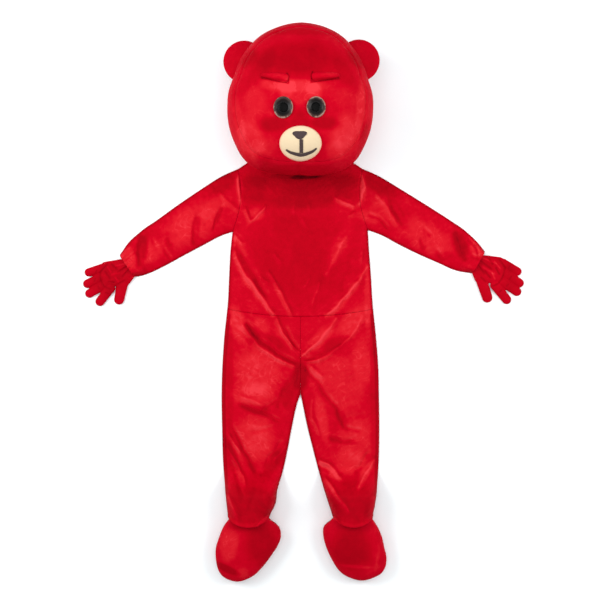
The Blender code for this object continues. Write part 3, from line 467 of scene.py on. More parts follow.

# %% [markdown]
# ## Jumpsuit relief
# The suit lies flat with a little air inside, so its front rises from the seams at the
# outline to a low crown, and its hems arch over the shoes. The folds could come from a
# cloth simulation, but then they would fall anywhere. They are listed one by one instead, as
# ridges and troughs that run where the real ones do: from the armpits, down both sides,
# and out of the crotch, where the seams meet.

# %% Folds of the jumpsuit
# Ends, width and height of each fold in mm, a trough where the height is negative
FOLDS = (
    (-236, 478, -226, 377, 8, 5), (-208, 360, -190, 311, 7, 4), (-188, 311, -134, 367, 7, 4),
    (-244, 264, -218, 227, 7, 3), (-251, 209, -204, 112, 9, 5), (-204, 112, -150, 38, 11, 6),
    (-150, 38, -105, -24, 9, 5), (-224, 209, -170, 112, 10, -3), (-170, 112, -127, 40, 10, -3),
    (-127, 132, -98, 89, 7, 3), (-98, 89, -44, -24, 9, 4), (-157, 116, -127, 89, 6, 2),
    (-107, 195, -77, 162, 7, 2), (-30, 377, -34, 342, 5, 1.5), (25, 374, 25, 342, 5, 1.5),
    (-7, 322, 16, 286, 6, 1.5), (153, 259, 106, 173, 16, 4), (106, 173, 81, 119, 14, 3),
    (232, 162, 199, 96, 8, 4.5), (199, 96, 156, 46, 11, 6), (156, 46, 86, -24, 9, 5),
    (174, 166, 135, 65, 11, -3), (25, 112, 2, 76, 5, 2), (56, 96, 33, 19, 7, 2.5),
    (110, 395, 146, 379, 8, 3.5), (146, 379, 182, 365, 7, 4), (185, 345, 162, 329, 6, 2.5),
    (208, 492, 223, 435, 7, 4), (223, 435, 198, 372, 7, 5), (164, 501, 113, 482, 7, 2),
    (216, 209, 207, 166, 7, 2.5), (-80, -87, -46, -127, 5, 4), (-46, -127, -12, -159, 5, 4),
    (-66, -71, -16, -152, 7, -4), (-100, -35, -80, -85, 7, 4), (-5, -168, 52, -121, 8, 5),
    (52, -121, 85, -82, 10, 5), (85, -82, 121, -31, 10, 4), (2, -186, 67, -157, 6, -3),
    (0, -191, 60, -186, 7, 4), (60, -186, 122, -146, 8, 4), (122, -146, 167, -105, 9, 4),
    (167, -105, 217, -26, 9, 3), (-21, -197, -91, -157, 6, -4), (-91, -157, -152, -116, 7, -4),
    (-152, -116, -202, -46, 8, -4), (-27, -211, -98, -177, 8, 4), (-98, -177, -166, -132, 9, 4),
    (-166, -132, -220, -57, 10, 4), (-14, -214, -27, -272, 6, -3), (6, -213, 45, -252, 7, -4),
    (45, -252, 110, -347, 9, -4), (22, -207, 70, -247, 7, 3), (-30, -232, -71, -293, 9, -4),
    (-71, -293, -91, -358, 8, -3), (-227, -344, -152, -372, 7, -4), (-152, -372, -86, -403, 6, -3),
    (-150, -369, -97, -322, 7, -3), (-227, -315, -149, -344, 10, 3), (-270, -458, -224, -519, 6, 4),
    (-249, -426, -174, -580, 8, -5), (-270, -505, -206, -623, 7, 4), (-267, -544, -210, -659, 7, -3),
    (-75, -478, -125, -534, 7, -4), (-125, -534, -150, -600, 7, -3), (-59, -487, -102, -544, 7, 4),
    (-184, -444, -116, -426, 7, -2.5), (-272, -650, -231, -726, 8, 3), (-163, -627, -192, -706, 9, -2),
    (31, -322, 34, -397, 7, 3), (34, -397, 56, -453, 7, 3), (110, -333, 126, -372, 7, -3),
    (126, -372, 151, -423, 8, -4), (151, -423, 207, -439, 7, -3), (95, -462, 142, -476, 8, -3),
    (142, -476, 189, -466, 8, -2.5), (56, -544, 95, -564, 6, 5), (95, -564, 135, -609, 7, 4),
    (56, -561, 95, -586, 6, -4), (260, -539, 216, -595, 7, 4), (216, -595, 190, -631, 7, 4),
    (235, -516, 189, -588, 8, -4), (76, -605, 121, -659, 7, 4), (121, -659, 160, -715, 7, 3),
    (149, -394, 221, -383, 10, -2), (-123, -727, -156, -756, 5, 4), (-156, -756, -188, -785, 5, 3),
    (-267, -749, -231, -785, 6, 3), (106, -738, 138, -774, 6, 3), (250, -738, 225, -781, 5, 3),
    (-288, 367, -310, 329, 5, -4), (-310, 329, -323, 284, 5, -4), (-375, 333, -394, 288, 9, -3),
    (-394, 288, -391, 234, 9, -3), (-375, 261, -357, 241, 6, -2), (-484, 257, -477, 227, 7, -2.5),
    (-500, 212, -477, 175, 6, -3), (-575, 268, -590, 227, 10, -3), (-590, 227, -586, 155, 9, -3),
    (-541, 250, -529, 212, 8, -2), (-640, 175, -606, 200, 4, -3), (-606, 200, -606, 220, 4, -3),
    (-299, 408, -235, 347, 8, 3), (-357, 302, -337, 325, 6, -2), (234, 342, 273, 325, 5, -4),
    (273, 325, 305, 290, 5, -4), (266, 406, 305, 349, 8, 3), (305, 349, 334, 299, 8, 3),
    (305, 394, 364, 290, 10, -3), (433, 290, 458, 261, 6, -3), (422, 254, 433, 218, 7, -3),
    (477, 209, 504, 173, 6, -2.5), (546, 282, 569, 225, 12, -3), (569, 225, 578, 173, 10, -3),
    (594, 254, 617, 225, 4, -4), (617, 225, 626, 182, 4, -4), (601, 189, 626, 177, 4, -3),
    (617, 238, 646, 209, 4, -3),
)
# The crest of each fold, where a painted highlight shows as a narrow line
CREST_SHARE = 0.4
CREST_HIGHLIGHT_FOLDS = [(*fold[:4], CREST_SHARE * fold[4], fold[5]) for fold in FOLDS if fold[5] > 0]
print(len(FOLDS), "folds,", len(CREST_HIGHLIGHT_FOLDS), "of them ridges")

# %% Brushed patches, painted shade and painted highlights of the jumpsuit
# Patches lighter (+) or darker (-): place, half sizes in mm, tilt, strength. Some are brushed pile; others
# are painted shade, as the head's shadow under the chin and across the top of the chest, shade in troughs,
# at the side seams and on the lower legs, and painted highlights along folds and armholes
SUIT_NAP_AND_PAINTED_LIGHT = (
    # The first three are the head's painted shadow on the chest, just under the chin
    (8, 471, 56, 11, 3, -1.5), (-50, 471, 60, 9, -3, -0.9), (60, 472, 44, 8, 8, -0.8),
    (-10, 190, 190, 185, 0, -0.55), (-10, -225, 26, 60, 0, -0.8), (-10, 395, 170, 40, 0, -0.5),
    (-12, 460, 208, 47, 0, -1), (-184, 424, 54, 61, 0, -0.7), (156, 438, 47, 57, 0, -0.7),
    (-12, 388, 136, 32, 0, -0.5), (-227, 431, 11, 61, 6, 1), (214, 435, 13, 61, -2, 1),
    (-166, 338, 29, 25, 0, 0.8), (149, 381, 43, 14, -25, 0.8), (-227, 234, 18, 50, 25, 0.5),
    (-199, 101, 16, 79, 33, 0.5), (-134, 19, 14, 61, 37, 0.45), (-73, 30, 12, 72, 27, 0.3),
    (131, 227, 29, 79, -27, 0.6), (185, 83, 15, 79, -33, 0.5), (124, 8, 16, 50, -48, 0.45),
    (-253, 245, 11, 36, 0, 0.6), (232, 30, 14, 143, 0, 0.7), (-235, -60, 32, 79, 20, 1.1),
    (-149, -60, 36, 25, -35, 0.7), (-70, -100, 22, 65, 40, 0.5), (-184, -96, 43, 32, -40, -0.8),
    (-98, -128, 50, 25, -35, -0.7), (60, -107, 25, 65, -45, 0.9), (174, -49, 36, 79, -40, 0.9),
    (113, -132, 57, 29, 35, -0.7), (210, -204, 36, 93, 0, 0.8), (-163, -229, 93, 79, -20, 1),
    (103, -229, 86, 50, 20, 0.7), (-12, -250, 32, 50, 0, -1), (-59, -311, 29, 54, -20, -0.6),
    (-184, -311, 79, 43, 0, 0.9), (-174, -362, 65, 18, -15, -0.8), (-174, -473, 72, 86, 0, 1.1),
    (-256, -527, 18, 79, 25, -0.9), (-202, -527, 18, 79, 27, -0.8), (-105, -552, 22, 65, -34, -0.8),
    (149, -311, 72, 57, 0, 0.6), (67, -401, 22, 93, 12, 0.9), (185, -473, 61, 93, 0, 0.7),
    (135, -394, 18, 57, 25, -0.7), (131, -473, 57, 14, -10, -0.6), (167, -552, 65, 50, 0, 0.7),
    (221, -591, 14, 57, -35, 0.9), (88, -580, 50, 18, -35, 0.9), (-192, -688, 86, 79, 0, -1),
    (174, -688, 86, 86, 0, -0.9), (-249, -688, 11, 47, 28, 0.5), (121, -663, 9, 61, 38, 0.6),
    (-263, -257, 13, 287, 0, -0.4), (250, -257, 11, 287, 0, -0.4), (-317, 370, 72, 36, 30, 0.4),
    (-407, 299, 122, 61, 33, 0.9), (-550, 202, 50, 43, 30, 0.7), (-629, 180, 36, 43, 30, 0.9),
    (-579, 216, 22, 61, -6, -1.5), (-385, 288, 16, 57, -8, -1), (-482, 238, 14, 36, 10, -0.6),
    (-306, 327, 9, 43, -22, -0.9), (-292, 446, 65, 32, 35, -0.8), (293, 360, 72, 43, -32, 0.5),
    (436, 259, 115, 50, -30, 0.9), (339, 345, 18, 72, 30, -0.8), (275, 438, 86, 32, -32, -0.9),
    (562, 230, 25, 57, 14, -1.4), (429, 234, 14, 36, 0, -0.7), (504, 187, 32, 18, 0, -0.5),
    (623, 209, 29, 32, 30, 0.7), (235, 327, 43, 22, -20, 0.7), (-712, 83, 65, 57, -30, -0.7),
    (695, 119, 57, 50, 30, -0.2),
)
print(len(SUIT_NAP_AND_PAINTED_LIGHT), "patches")

# %% Seam lines of the jumpsuit
WAIST_BULGE_HALF = 0.26
WAIST_ENDS = (-0.27, 0.25)
CENTRE_SEAM_TOP = WAIST_Y - 0.16
SIDE_SEAM_ENDS = (WAIST_Y - 0.02, -0.66)
SIDE_SEAM_INSET = {"right": 0.011, "left": -0.010}


def armhole(side, share):
    """Points of the armhole seam, from the shoulder (0) to the armpit (1)."""
    rows = SLEEVES[side]
    toward_body = ARMHOLE_CURVE * np.sin(math.pi * share) * (1 if side == "right" else -1)
    x = rows["top_x"][0] + (rows["low_x"][0] - rows["top_x"][0]) * share + toward_body
    return x, rows["top_y"][0] + (rows["low_y"][0] - rows["top_y"][0]) * share


def waist_line(x, sag):
    """Place of the waist seam, which sags in the middle."""
    return WAIST_Y - sag * (1 - ((x - AXIS_X) / WAIST_BULGE_HALF) ** 2)


def sampled(rows, x_column, y_column, key, count=40):
    """Evenly spaced points on the smooth curve through a table's rows."""
    at = np.linspace(rows[key].min(), rows[key].max(), count)
    return list(zip(along(rows, x_column, at, key), along(rows, y_column, at, key)))


def free_edges():
    """Lines of the seams that lie along the suit's outline."""
    lines = []
    for side in ("right", "left"):
        lines.append(sampled(SLEEVES[side], "top_x", "top_y", "along"))
        lines.append(sampled(SLEEVES[side], "low_x", "low_y", "along"))
        lines.append(sampled(SIDES, side, "y", "y"))
        lines.append(sampled(INSEAMS, side, "y", "y"))
    right, left = armhole("right", 0), armhole("left", 0)
    inward = (0.5 - NECK_HALF) * (left[0] - right[0])
    neck_y = right[1] + NECK_RISE
    lines.append([right, (right[0] + inward, neck_y), (left[0] - inward, neck_y), left])
    return lines


def inner_seams():
    """Lines of the seams that cross the front: armholes, waist, centre front and side panels."""
    share = np.linspace(0, 1, 24)
    lines = [list(zip(*armhole(side, share))) for side in ("right", "left")]
    xs = np.linspace(*WAIST_ENDS, 30)
    lines.append(list(zip(xs, waist_line(xs, WAIST_SAG))))
    lines.append([(AXIS_X, CENTRE_SEAM_TOP), (AXIS_X, CROTCH_Y)])
    ys = np.linspace(*SIDE_SEAM_ENDS, 40)
    for side, inset in SIDE_SEAM_INSET.items():
        lines.append(list(zip(along(SIDES, side, ys) + inset, ys)))
    return lines


OUTLINE = free_edges()
SEAMS = inner_seams()
SIDE_SEAMS = SEAMS[-2:]
print(len(OUTLINE), "lines in the outline and", len(SEAMS), "seams inside it")

# %% Relief of the jumpsuit
FOLD_WANDER = 0.0040
FOLD_GAIN = 1.25
WRINKLE = 0.0011
FINE_WRINKLE = 0.0006
PUCKER = 0.0009
GROOVE = 0.0010
# The chest lies smoother than the rest, in an oval at this height
CALM_Y = 0.22
CALM_HALF = (0.18, 0.20)
CALM_SHARE = 0.75
# How strongly the painted light follows slopes, folds and their crests, and how dark the painted shade at
# seams and edges is
PAINTED_LIGHT_BY_SLOPE = 150
PAINTED_LIGHT_BY_FOLD = 40
PAINTED_HIGHLIGHT_BY_CREST = 130
SEAM_SHADE = 1.2
EDGE_SHADE = 1.5
# The outline's lines cut across its curves by less than this, so the arch starts that far in
EDGE_EASE = 0.0006


def fold_height(x, y, folds=FOLDS, strayed=FOLD_WANDER):
    """Ridges and troughs of the folds, each fading out toward its ends and wandering a little."""
    total = np.zeros(np.shape(x))
    wander = strayed * ripple(x, y, 0.03, 5)
    for x0, y0, x1, y1, width, height in np.array(folds) / 1000:
        run = np.array((x1 - x0, y1 - y0))
        length = np.hypot(*run)
        t = ((x - x0) * run[0] + (y - y0) * run[1]) / length**2
        aside = ((y - y0) * run[0] - (x - x0) * run[1]) / length + wander
        ends = smooth(4 * t + 0.5) * smooth(4 * (1 - t) + 0.5)
        total += height * ends * bump(aside, width * 0.95)
    return total


def wrinkles(x, y):
    """Fine slanting creases that cross the cloth on both sides of the middle."""
    aside = (x - AXIS_X) * np.where(x > AXIS_X, 1.0, -1.0)
    u, v = aside * 0.8 + y * 0.6, y * 0.8 - aside * 0.6
    long_creases = ripple(u, v, 0.012, 8) * ripple(u * 0.35, v * 0.35, 0.018, 9)
    off_chest = (x - AXIS_X) / CALM_HALF[0], (y - CALM_Y) / CALM_HALF[1]
    calm = np.exp(-(off_chest[0] ** 4) - off_chest[1] ** 4)
    fine_creases = ripple(u * 0.3, v, 0.006, 10)
    return (1 - CALM_SHARE * calm) * (WRINKLE * long_creases + FINE_WRINKLE * fine_creases)


def painted_fold_light(x, y):
    """Painted highlight on crests and on slopes that face the legs, painted shade on other slopes, in
    troughs, at side seams and along the outline.
    """
    step = 0.003
    rise = fold_height(x - step, y - 2 * step) - fold_height(x + step, y + 2 * step)
    small = wrinkles(x - step, y - 2 * step) - wrinkles(x + step, y + 2 * step)
    side_seam, _ = nearest(SIDE_SEAMS, x, y)
    edge, _ = nearest(OUTLINE, x, y)
    pile_and_painted_light = PAINTED_LIGHT_BY_FOLD * fold_height(x, y) + PAINTED_HIGHLIGHT_BY_CREST * fold_height(x, y, CREST_HIGHLIGHT_FOLDS)
    pile_and_painted_light = pile_and_painted_light - PAINTED_LIGHT_BY_SLOPE * rise - PAINTED_LIGHT_BY_SLOPE * small
    return pile_and_painted_light - SEAM_SHADE * bump(side_seam, 0.0030) - EDGE_SHADE * bump(edge, 0.006)


def cuff_middle(rows):
    """Middle of a sleeve's cuff in plan."""
    return (rows["top_x"][-1] + rows["low_x"][-1]) / 2, (rows["top_y"][-1] + rows["low_y"][-1]) / 2


def suit_height(x, y):
    """Height of the suit's upper face: low at its outline, lofted and folded inside."""
    inside, _ = nearest(OUTLINE, x, y)
    seam, travelled = nearest(SEAMS, x, y)
    away = np.full(np.shape(x), np.inf)
    for rows in SLEEVES.values():
        middle = cuff_middle(rows)
        away = np.minimum(away, np.hypot(x - middle[0], y - middle[1]))
    near_cuff = np.exp(-((away / CUFF_REACH) ** 4))
    reach = LOFT_REACH + (CUFF_ROUNDING - LOFT_REACH) * near_cuff
    fill = 1 - (1 - np.minimum(inside / reach, 1)) ** 2
    soft = 0.0012 * ripple(x, y, 0.055, 2) + 0.0005 * ripple(x, y, 0.021, 3)
    pucker = PUCKER * ripple(travelled, seam, 0.009, 4) * bump(seam, 0.013)
    groove = pucker - GROOVE * bump(seam, 0.0030) + 0.6 * GROOVE * bump(seam - 0.008, 0.005)
    puff = LOFT + FOLD_GAIN * fold_height(x, y) + wrinkles(x, y) + soft + groove + CUFF_LOFT * near_cuff
    over_shoe = smooth((ARCH_START - y) / (ARCH_START - ARCH_FULL))
    arch = dome(np.maximum(inside - EDGE_EASE, 0) / ARCH_HALF, ARCH_FULLNESS)
    return np.maximum(EDGE_TOP + puff * fill + ARCH_HEIGHT * over_shoe * arch, EDGE_TOP)


chest = suit_height(np.array([0.0]), np.array([0.2]))
print("height over the chest", round(float(chest[0]), 4))

# %% [markdown]
# ## Front and back panels
# The bodice is one front panel and two backs that meet at the zip, and each leg has a front
# and a back. Each panel is a grid from seam to seam, so neighbours share their seam line. The
# backs lie flat on the floor. The fronts take the relief above, and each hem is turned and
# stitched, which leaves a thin rolled edge.

# %% Cut of the panels


def bodice_side(side, v):
    """Points of the bodice's side: up the side seam, then up the armhole."""
    pit_y = armhole(side, 1.0)[1]
    y = WAIST_Y + (pit_y - WAIST_Y) * v / PIT_SHARE
    hole_x, hole_y = armhole(side, 1 - np.clip((v - PIT_SHARE) / (1 - PIT_SHARE), 0, 1))
    below = v <= PIT_SHARE
    return np.where(below, along(SIDES, side, y), hole_x), np.where(below, y, hole_y)


def bodice_grid(columns, rows, neck_drop, sag=0.0, first=0.0, last=1.0):
    """Plan points of a bodice panel, between two shares of its width."""
    v = np.linspace(0, 1, rows + 1)[:, None]
    u = first + (last - first) * np.linspace(0, 1, columns + 1)[None, :]
    (x0, y0), (x1, y1) = bodice_side("right", v), bodice_side("left", v)
    x0, x1 = x0 + SEAM_GAP / 2, x1 - SEAM_GAP / 2
    x = x0 + (x1 - x0) * u
    y = y0 + (y1 - y0) * u + (waist_line(x, sag) + SEAM_GAP / 2 - WAIST_Y) * (1 - v) ** 2
    off_middle = np.abs(u - 0.5)
    rise = np.minimum(NECK_RISE * (0.5 - off_middle) / (0.5 - NECK_HALF), NECK_RISE)
    rise = rise - neck_drop * np.maximum(1 - (off_middle / NECK_HALF) ** 2, 0)
    return x, y + rise * v**4


def leg_grid(side, columns, rows, hem_dip=0.0, sag=0.0):
    """Plan points of a leg panel, and how far each is from the hem."""
    inward = 1 if side == "right" else -1
    v = np.linspace(0, 1, rows + 1)[:, None]
    u = np.linspace(0, 1, columns + 1)[None, :]
    y = WAIST_Y + (HEM_Y - WAIST_Y) * v
    outer = along(SIDES, side, y)
    inner = np.where(y < CROTCH_Y, along(INSEAMS, side, y), AXIS_X) - inward * SEAM_GAP / 2
    x = outer + (inner - outer) * u
    seam = (waist_line(x, sag) - SEAM_GAP / 2 - WAIST_Y) * (1 - v) ** 2
    plan_y = y + seam - hem_dip * np.sin(math.pi * u) ** 0.8 * v**8
    return x, plan_y, (1 - v) * (WAIST_Y - HEM_Y) + 0 * u


print("leg front is", round(float(np.ptp(leg_grid("left", 4, 4, HEM_DIP, WAIST_SAG)[1])), 3), "m long")

# %% Panels of the jumpsuit
PANEL_UNEVENNESS = 0.0007
HEM_ROLL = 0.0022
HEM_STITCH = 0.0012


def front_panel(name, x, y, extra=0.0):
    """A front panel that takes the suit's relief, with any extra height on top."""
    top = np.stack([x, y, suit_height(x, y) + extra], axis=-1)
    piece = add_piece(name, wall_mesh(top, top - (0, 0, CLOTH)), red_velvet, SUIT_NAP_AND_PAINTED_LIGHT, painted_fold_light)
    return dress(piece, "red_velvet", name)


def back_panel(name, x, y):
    """A panel flat on the floor, a little uneven where it doesn't press on it."""
    lift = PANEL_UNEVENNESS * (1 + ripple(x, y, 0.04, 7)) * smooth(nearest(OUTLINE, x, y)[0] / 0.02)
    low = np.stack([x, y, lift], axis=-1)
    piece = add_piece(name, wall_mesh(low + (0, 0, CLOTH), low), red_velvet, SUIT_NAP_AND_PAINTED_LIGHT)
    return dress(piece, "red_velvet", name)


def hem_roll(from_edge):
    """The turned hem: a rolled edge about 5 mm wide, then the stitched dip."""
    return HEM_ROLL * bump(from_edge - 0.003, 0.0032) - HEM_STITCH * bump(from_edge - 0.011, 0.004)


bodice_front = front_panel("bodice_front", *bodice_grid(150, 160, NECK_FRONT_DROP, WAIST_SAG))
for side in ("right", "left"):
    x, y, from_hem = leg_grid(side, 84, 216, HEM_DIP, WAIST_SAG)
    leg = front_panel(f"leg_front_{side}", x, y, hem_roll(from_hem))
    x, y, _ = leg_grid(side, 36, 110)
    back = back_panel(f"leg_back_{side}", x, y)

# %% [markdown]
# ## Back zip
# A long zip closes the back under the costume. It is the thinnest part here, so its tapes,
# teeth and slider all lie in the two millimetres between the two back panels.

# %% Back panels
MID_SHARE = 0.49
half_zip = (ZIP_WIDTH / 2 + SEAM_GAP) / MID_SHARE
for side, first, last in (("right", 0.0, 0.5 - half_zip), ("left", 0.5 + half_zip, 1.0)):
    x, y = bodice_grid(54, 110, NECK_BACK_DROP, 0.0, first, last)
    back = back_panel(f"bodice_back_{side}", x, y)

# %% [markdown]
# The tape is woven polyester, so it is matt and shows fine cross ribs. They are drawn a
# millimetre apart, twice as wide as real ones, so that they show. The teeth and the slider are
# moulded nylon, smooth and a little glossy.

# %% Materials and pieces of the zip
TAPE_LIFT = 0.0006
TAPE_THICKNESS = 0.0008
TOOTH_PITCH = 0.0025
TOOTH_STAGGER = 0.0008
TOOTH_SIZE = (0.0034, 0.0014, 0.0014)
TOOTH_Z = 0.0009
SLIDER_SIZE = (0.010, 0.012, 0.0019)
SLIDER_Z = 0.0010
# The wave texture at scale 1 has its bands a tenth of pi apart, in metres
RIB_PITCH = 0.001047
RIB_SCALE = math.pi / 10 / RIB_PITCH
zip_cloth, tree, shader, place = surface("woven_zip_tape", 0.8)
ribs = {"wave_type": "BANDS", "bands_direction": "Y"}
weave = node(tree, "TexWave", ribs, {"Vector": place, "Scale": RIB_SCALE}).outputs["Fac"]
tint = node(tree, "ValToRGB", {}, {"Fac": weave}, ((0.2, "#7E0A16"), (0.8, "#94121E")))
finish(tree, shader, tint.outputs["Color"], weave, 0.2, 0.5)
nylon, tree, shader, place = surface("moulded_nylon_zip_teeth", 0.35)
shader.inputs["Base Color"].default_value = linear("#8E0A18")

half_tape = ZIP_WIDTH / 2 / MID_SHARE
x, y = bodice_grid(8, 150, NECK_BACK_DROP, 0.0, 0.5 - half_tape, 0.5 + half_tape)
tape_low = np.stack([x, y, np.full_like(x, TAPE_LIFT)], axis=-1)
back_zip = add_piece("back_zip", wall_mesh(tape_low + (0, 0, TAPE_THICKNESS), tape_low), zip_cloth)
dress(back_zip, "zip_tape", "back_zip")


def block(bm, place, size, pinch=1.0):
    """A block of the given size, its end toward the legs narrowed to a share of its width."""
    for v in bmesh.ops.create_cube(bm, size=1.0)["verts"]:
        wide = v.co.x * size[0] * (pinch if v.co.y < 0 else 1.0)
        v.co = Vector((place[0] + wide, place[1] + v.co.y * size[1], place[2] + v.co.z * size[2]))


bm = bmesh.new()
tooth_rows = np.arange(float(y[0].max()) + 0.004, float(y[-1].min()) - 0.012, TOOTH_PITCH)
for i, tooth_y in enumerate(tooth_rows):
    block(bm, (AXIS_X + TOOTH_STAGGER * (-1) ** i, tooth_y, TOOTH_Z), TOOTH_SIZE)
block(bm, (AXIS_X, tooth_rows[-1] + 0.006, SLIDER_Z), SLIDER_SIZE, 0.5)
teeth = dress(add_piece("zip_teeth", bm, nylon), "zip_tape")
print(len(tooth_rows), "teeth")

# %% [markdown]
# ## Sleeves
# Each sleeve is one piece folded round the arm, sewn under the arm and set into the armhole.
# Its cuff is drawn in by elastic, so it gathers into short creases that fade within some
# sixty millimetres.

# %% Sleeves
SLEEVE_LENGTH = 0.55
GATHER_HEIGHT = 0.0048
GATHER_SIZE = 0.0065
GATHER_REACH = 0.030
GATHER_SEED = {"right": 11, "left": 12}


def sleeve_points(side, share, across):
    """Plan points of a sleeve: along it from the armhole, and across from the shoulder side."""
    rows = SLEEVES[side]
    columns = "top_x", "top_y", "low_x", "low_y"
    top_x, top_y, low_x, low_y = (along(rows, column, share, "along") for column in columns)
    away = -1 if side == "right" else 1
    curve = ARMHOLE_CURVE * np.sin(math.pi * across) * (1 - share) ** 3
    x = top_x + (low_x - top_x) * across - away * curve + away * SEAM_GAP / 2
    return x, top_y + (low_y - top_y) * across


def gathers(share, across, side):
    """Creases of the elastic cuff, deepest at the hem."""
    from_hem = (1 - share) * SLEEVE_LENGTH
    fan = ripple(across * 0.1 + from_hem * 0.05, from_hem * 0.15, GATHER_SIZE, GATHER_SEED[side])
    at_edges = smooth(across * 8) * smooth((1 - across) * 8)
    return GATHER_HEIGHT * fan * np.exp(-from_hem / GATHER_REACH) * at_edges


def sleeve(side, spans=52, rows=130):
    """A flattened tube of cloth: its upper side takes the relief and its lower side lies flat."""
    share = np.linspace(0, 1, rows + 1)[:, None]
    across = (0.5 - 0.5 * np.cos(math.pi * np.linspace(0, 1, spans + 1)))[None, :]
    ends = sleeve_points(side, share, 0.0), sleeve_points(side, share, 1.0)
    inset = CLOTH / np.hypot(ends[0][0] - ends[1][0], ends[0][1] - ends[1][1])
    x, y = sleeve_points(side, share, across)
    z = suit_height(x, y) + gathers(share, across, side) + hem_roll((1 - share) * SLEEVE_LENGTH)
    z = np.maximum(z, EDGE_TOP)
    core_x, core_y = sleeve_points(side, share, inset + (1 - 2 * inset) * across)
    over = np.stack([x, y, z], axis=-1), np.stack([core_x, core_y, z - CLOTH], axis=-1)
    floor_z = 0 * z
    under = np.stack([x, y, floor_z], axis=-1), np.stack([core_x, core_y, floor_z + CLOTH], axis=-1)
    outer = np.concatenate([over[0], under[0][:, ::-1]], axis=1)
    inner = np.concatenate([over[1], under[1][:, ::-1]], axis=1)
    bm = wall_mesh(outer, inner, closed=True)
    piece = add_piece(f"sleeve_{side}", bm, red_velvet, SUIT_NAP_AND_PAINTED_LIGHT, painted_fold_light)
    return dress(piece, "red_velvet", f"sleeve_{side}")


for side in ("right", "left"):
    made = sleeve(side)

# %% [markdown]
# ## Head
# The head is velvet laminated to foam over a light frame: a face panel, a band round the
# sides and a back panel, sewn edge to edge. It could be sculpted, but the foam keeps its
# round form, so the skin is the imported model's own form with the seams drawn in, a slight
# swell between them and soft unevenness, as foam shows under its cover.

# %% Form of the head
HEAD_CENTRE = Vector((-0.0105, 0.715, 0.190))
HEAD_FRONT = 0.180
HEAD_REAR = 0.215
HEAD_FULLNESS = 2.4
HEAD_TURN = math.radians(1.2)
# The face swells round the snout: its place in plan, then how far it stands out
SNOUT = Vector((-0.0105, 0.548, 0.018))
SNOUT_REACH = 0.070
FACE_SEAM = math.radians(59)
BACK_SEAM = math.radians(131)
NECK_CHIN = Vector((AXIS_X, 0.470, 0.100))
NECK_NAPE = Vector((AXIS_X, 0.600, 0.000))
# Outline seen from the front: half-width at a height above or below its centre
HEAD_OUTLINE = table(
    "rise half",
    (0.264, 0.000),
    (0.246, 0.086),
    (0.220, 0.136),
    (0.174, 0.182),
    (0.140, 0.205),
    (0.072, 0.231),
    (0.016, 0.248),
    (-0.025, 0.250),
    (-0.066, 0.248),
    (-0.107, 0.240),
    (-0.149, 0.224),
    (-0.204, 0.191),
    (-0.231, 0.157),
    (-0.247, 0.103),
    (-0.251, 0.000),
)
HEAD_ANGLES = {
    "angle": np.arctan2(HEAD_OUTLINE["half"], HEAD_OUTLINE["rise"]),
    "length": np.hypot(HEAD_OUTLINE["half"], HEAD_OUTLINE["rise"]),
}
print("head is", round(2 * float(HEAD_OUTLINE["half"].max()), 3), "m wide")

# %% Brushed patches and painted shade of the head
# Place, half sizes in mm, tilt and strength, as for the jumpsuit. The first two are painted shade where the
# ears meet the head
HEAD_NAP_AND_PAINTED_SHADE = (
    (-184, 838, 26, 40, -40, -0.9), (172, 840, 26, 40, 40, -0.9),
    (-12, 827, 147, 67, 0, -1.1), (-139, 800, 33, 74, -30, -0.6), (138, 783, 30, 74, 25, -0.5),
    (-12, 925, 136, 14, 0, -0.5), (-12, 734, 86, 23, 0, 1), (-105, 741, 47, 20, -8, 0.7),
    (-55, 721, 27, 40, 0, 0.9), (31, 711, 27, 40, 0, 0.9), (-12, 694, 23, 23, 0, 0.6),
    (-163, 683, 40, 54, 0, 0.6), (138, 706, 47, 47, 0, 0.3), (-12, 620, 33, 40, 0, -1),
    (-95, 610, 56, 27, 0, -1.2), (71, 613, 53, 23, 0, -1.2), (-173, 565, 44, 74, 15, 1),
    (138, 585, 47, 67, -20, 1), (191, 674, 17, 88, -4, 0.8), (-216, 623, 20, 81, 8, 0.6),
    (-119, 541, 33, 30, 0, 0.4), (104, 528, 33, 33, 0, 0.6), (-12, 474, 140, 14, 0, -0.5),
    (-140, 501, 34, 20, -30, -0.5), (203, 583, 14, 48, -15, -0.6),
)
print(len(HEAD_NAP_AND_PAINTED_SHADE), "patches")

# %% Skin of the head
# Metres of skin for each radian, round the head and from its front to its back
SKIN_AROUND = 0.25
SKIN_TURN = 0.2
SEAM_DEPTH = 0.0020
SEAM_HALF = 0.0035
SWELL = 0.0010


def head_radius(angle):
    """Distance from the head's centre to its outline; the angle runs from the crown (0) to the chin."""
    return along(HEAD_ANGLES, "length", angle, "angle")


def seam_relief(turn, around):
    """The drawn-in seams and the slight swell of the foam between them, as an offset outward."""
    reach = SKIN_AROUND * np.sin(turn)
    total = 0.0012 * ripple(reach * np.cos(around) + 0.1 * turn, reach * np.sin(around), 0.09, 21)
    shown = smooth((np.cos(around) + 0.95) / 0.5)
    for seam in (FACE_SEAM, BACK_SEAM):
        off = np.abs(turn - seam) * SKIN_TURN
        total = total - SEAM_DEPTH * shown * bump(off, SEAM_HALF) + SWELL * bump(off - 0.016, 0.012)
        total = total + 0.0006 * ripple(around * SKIN_AROUND, off, 0.012, 22) * bump(off, 0.012)
    return total


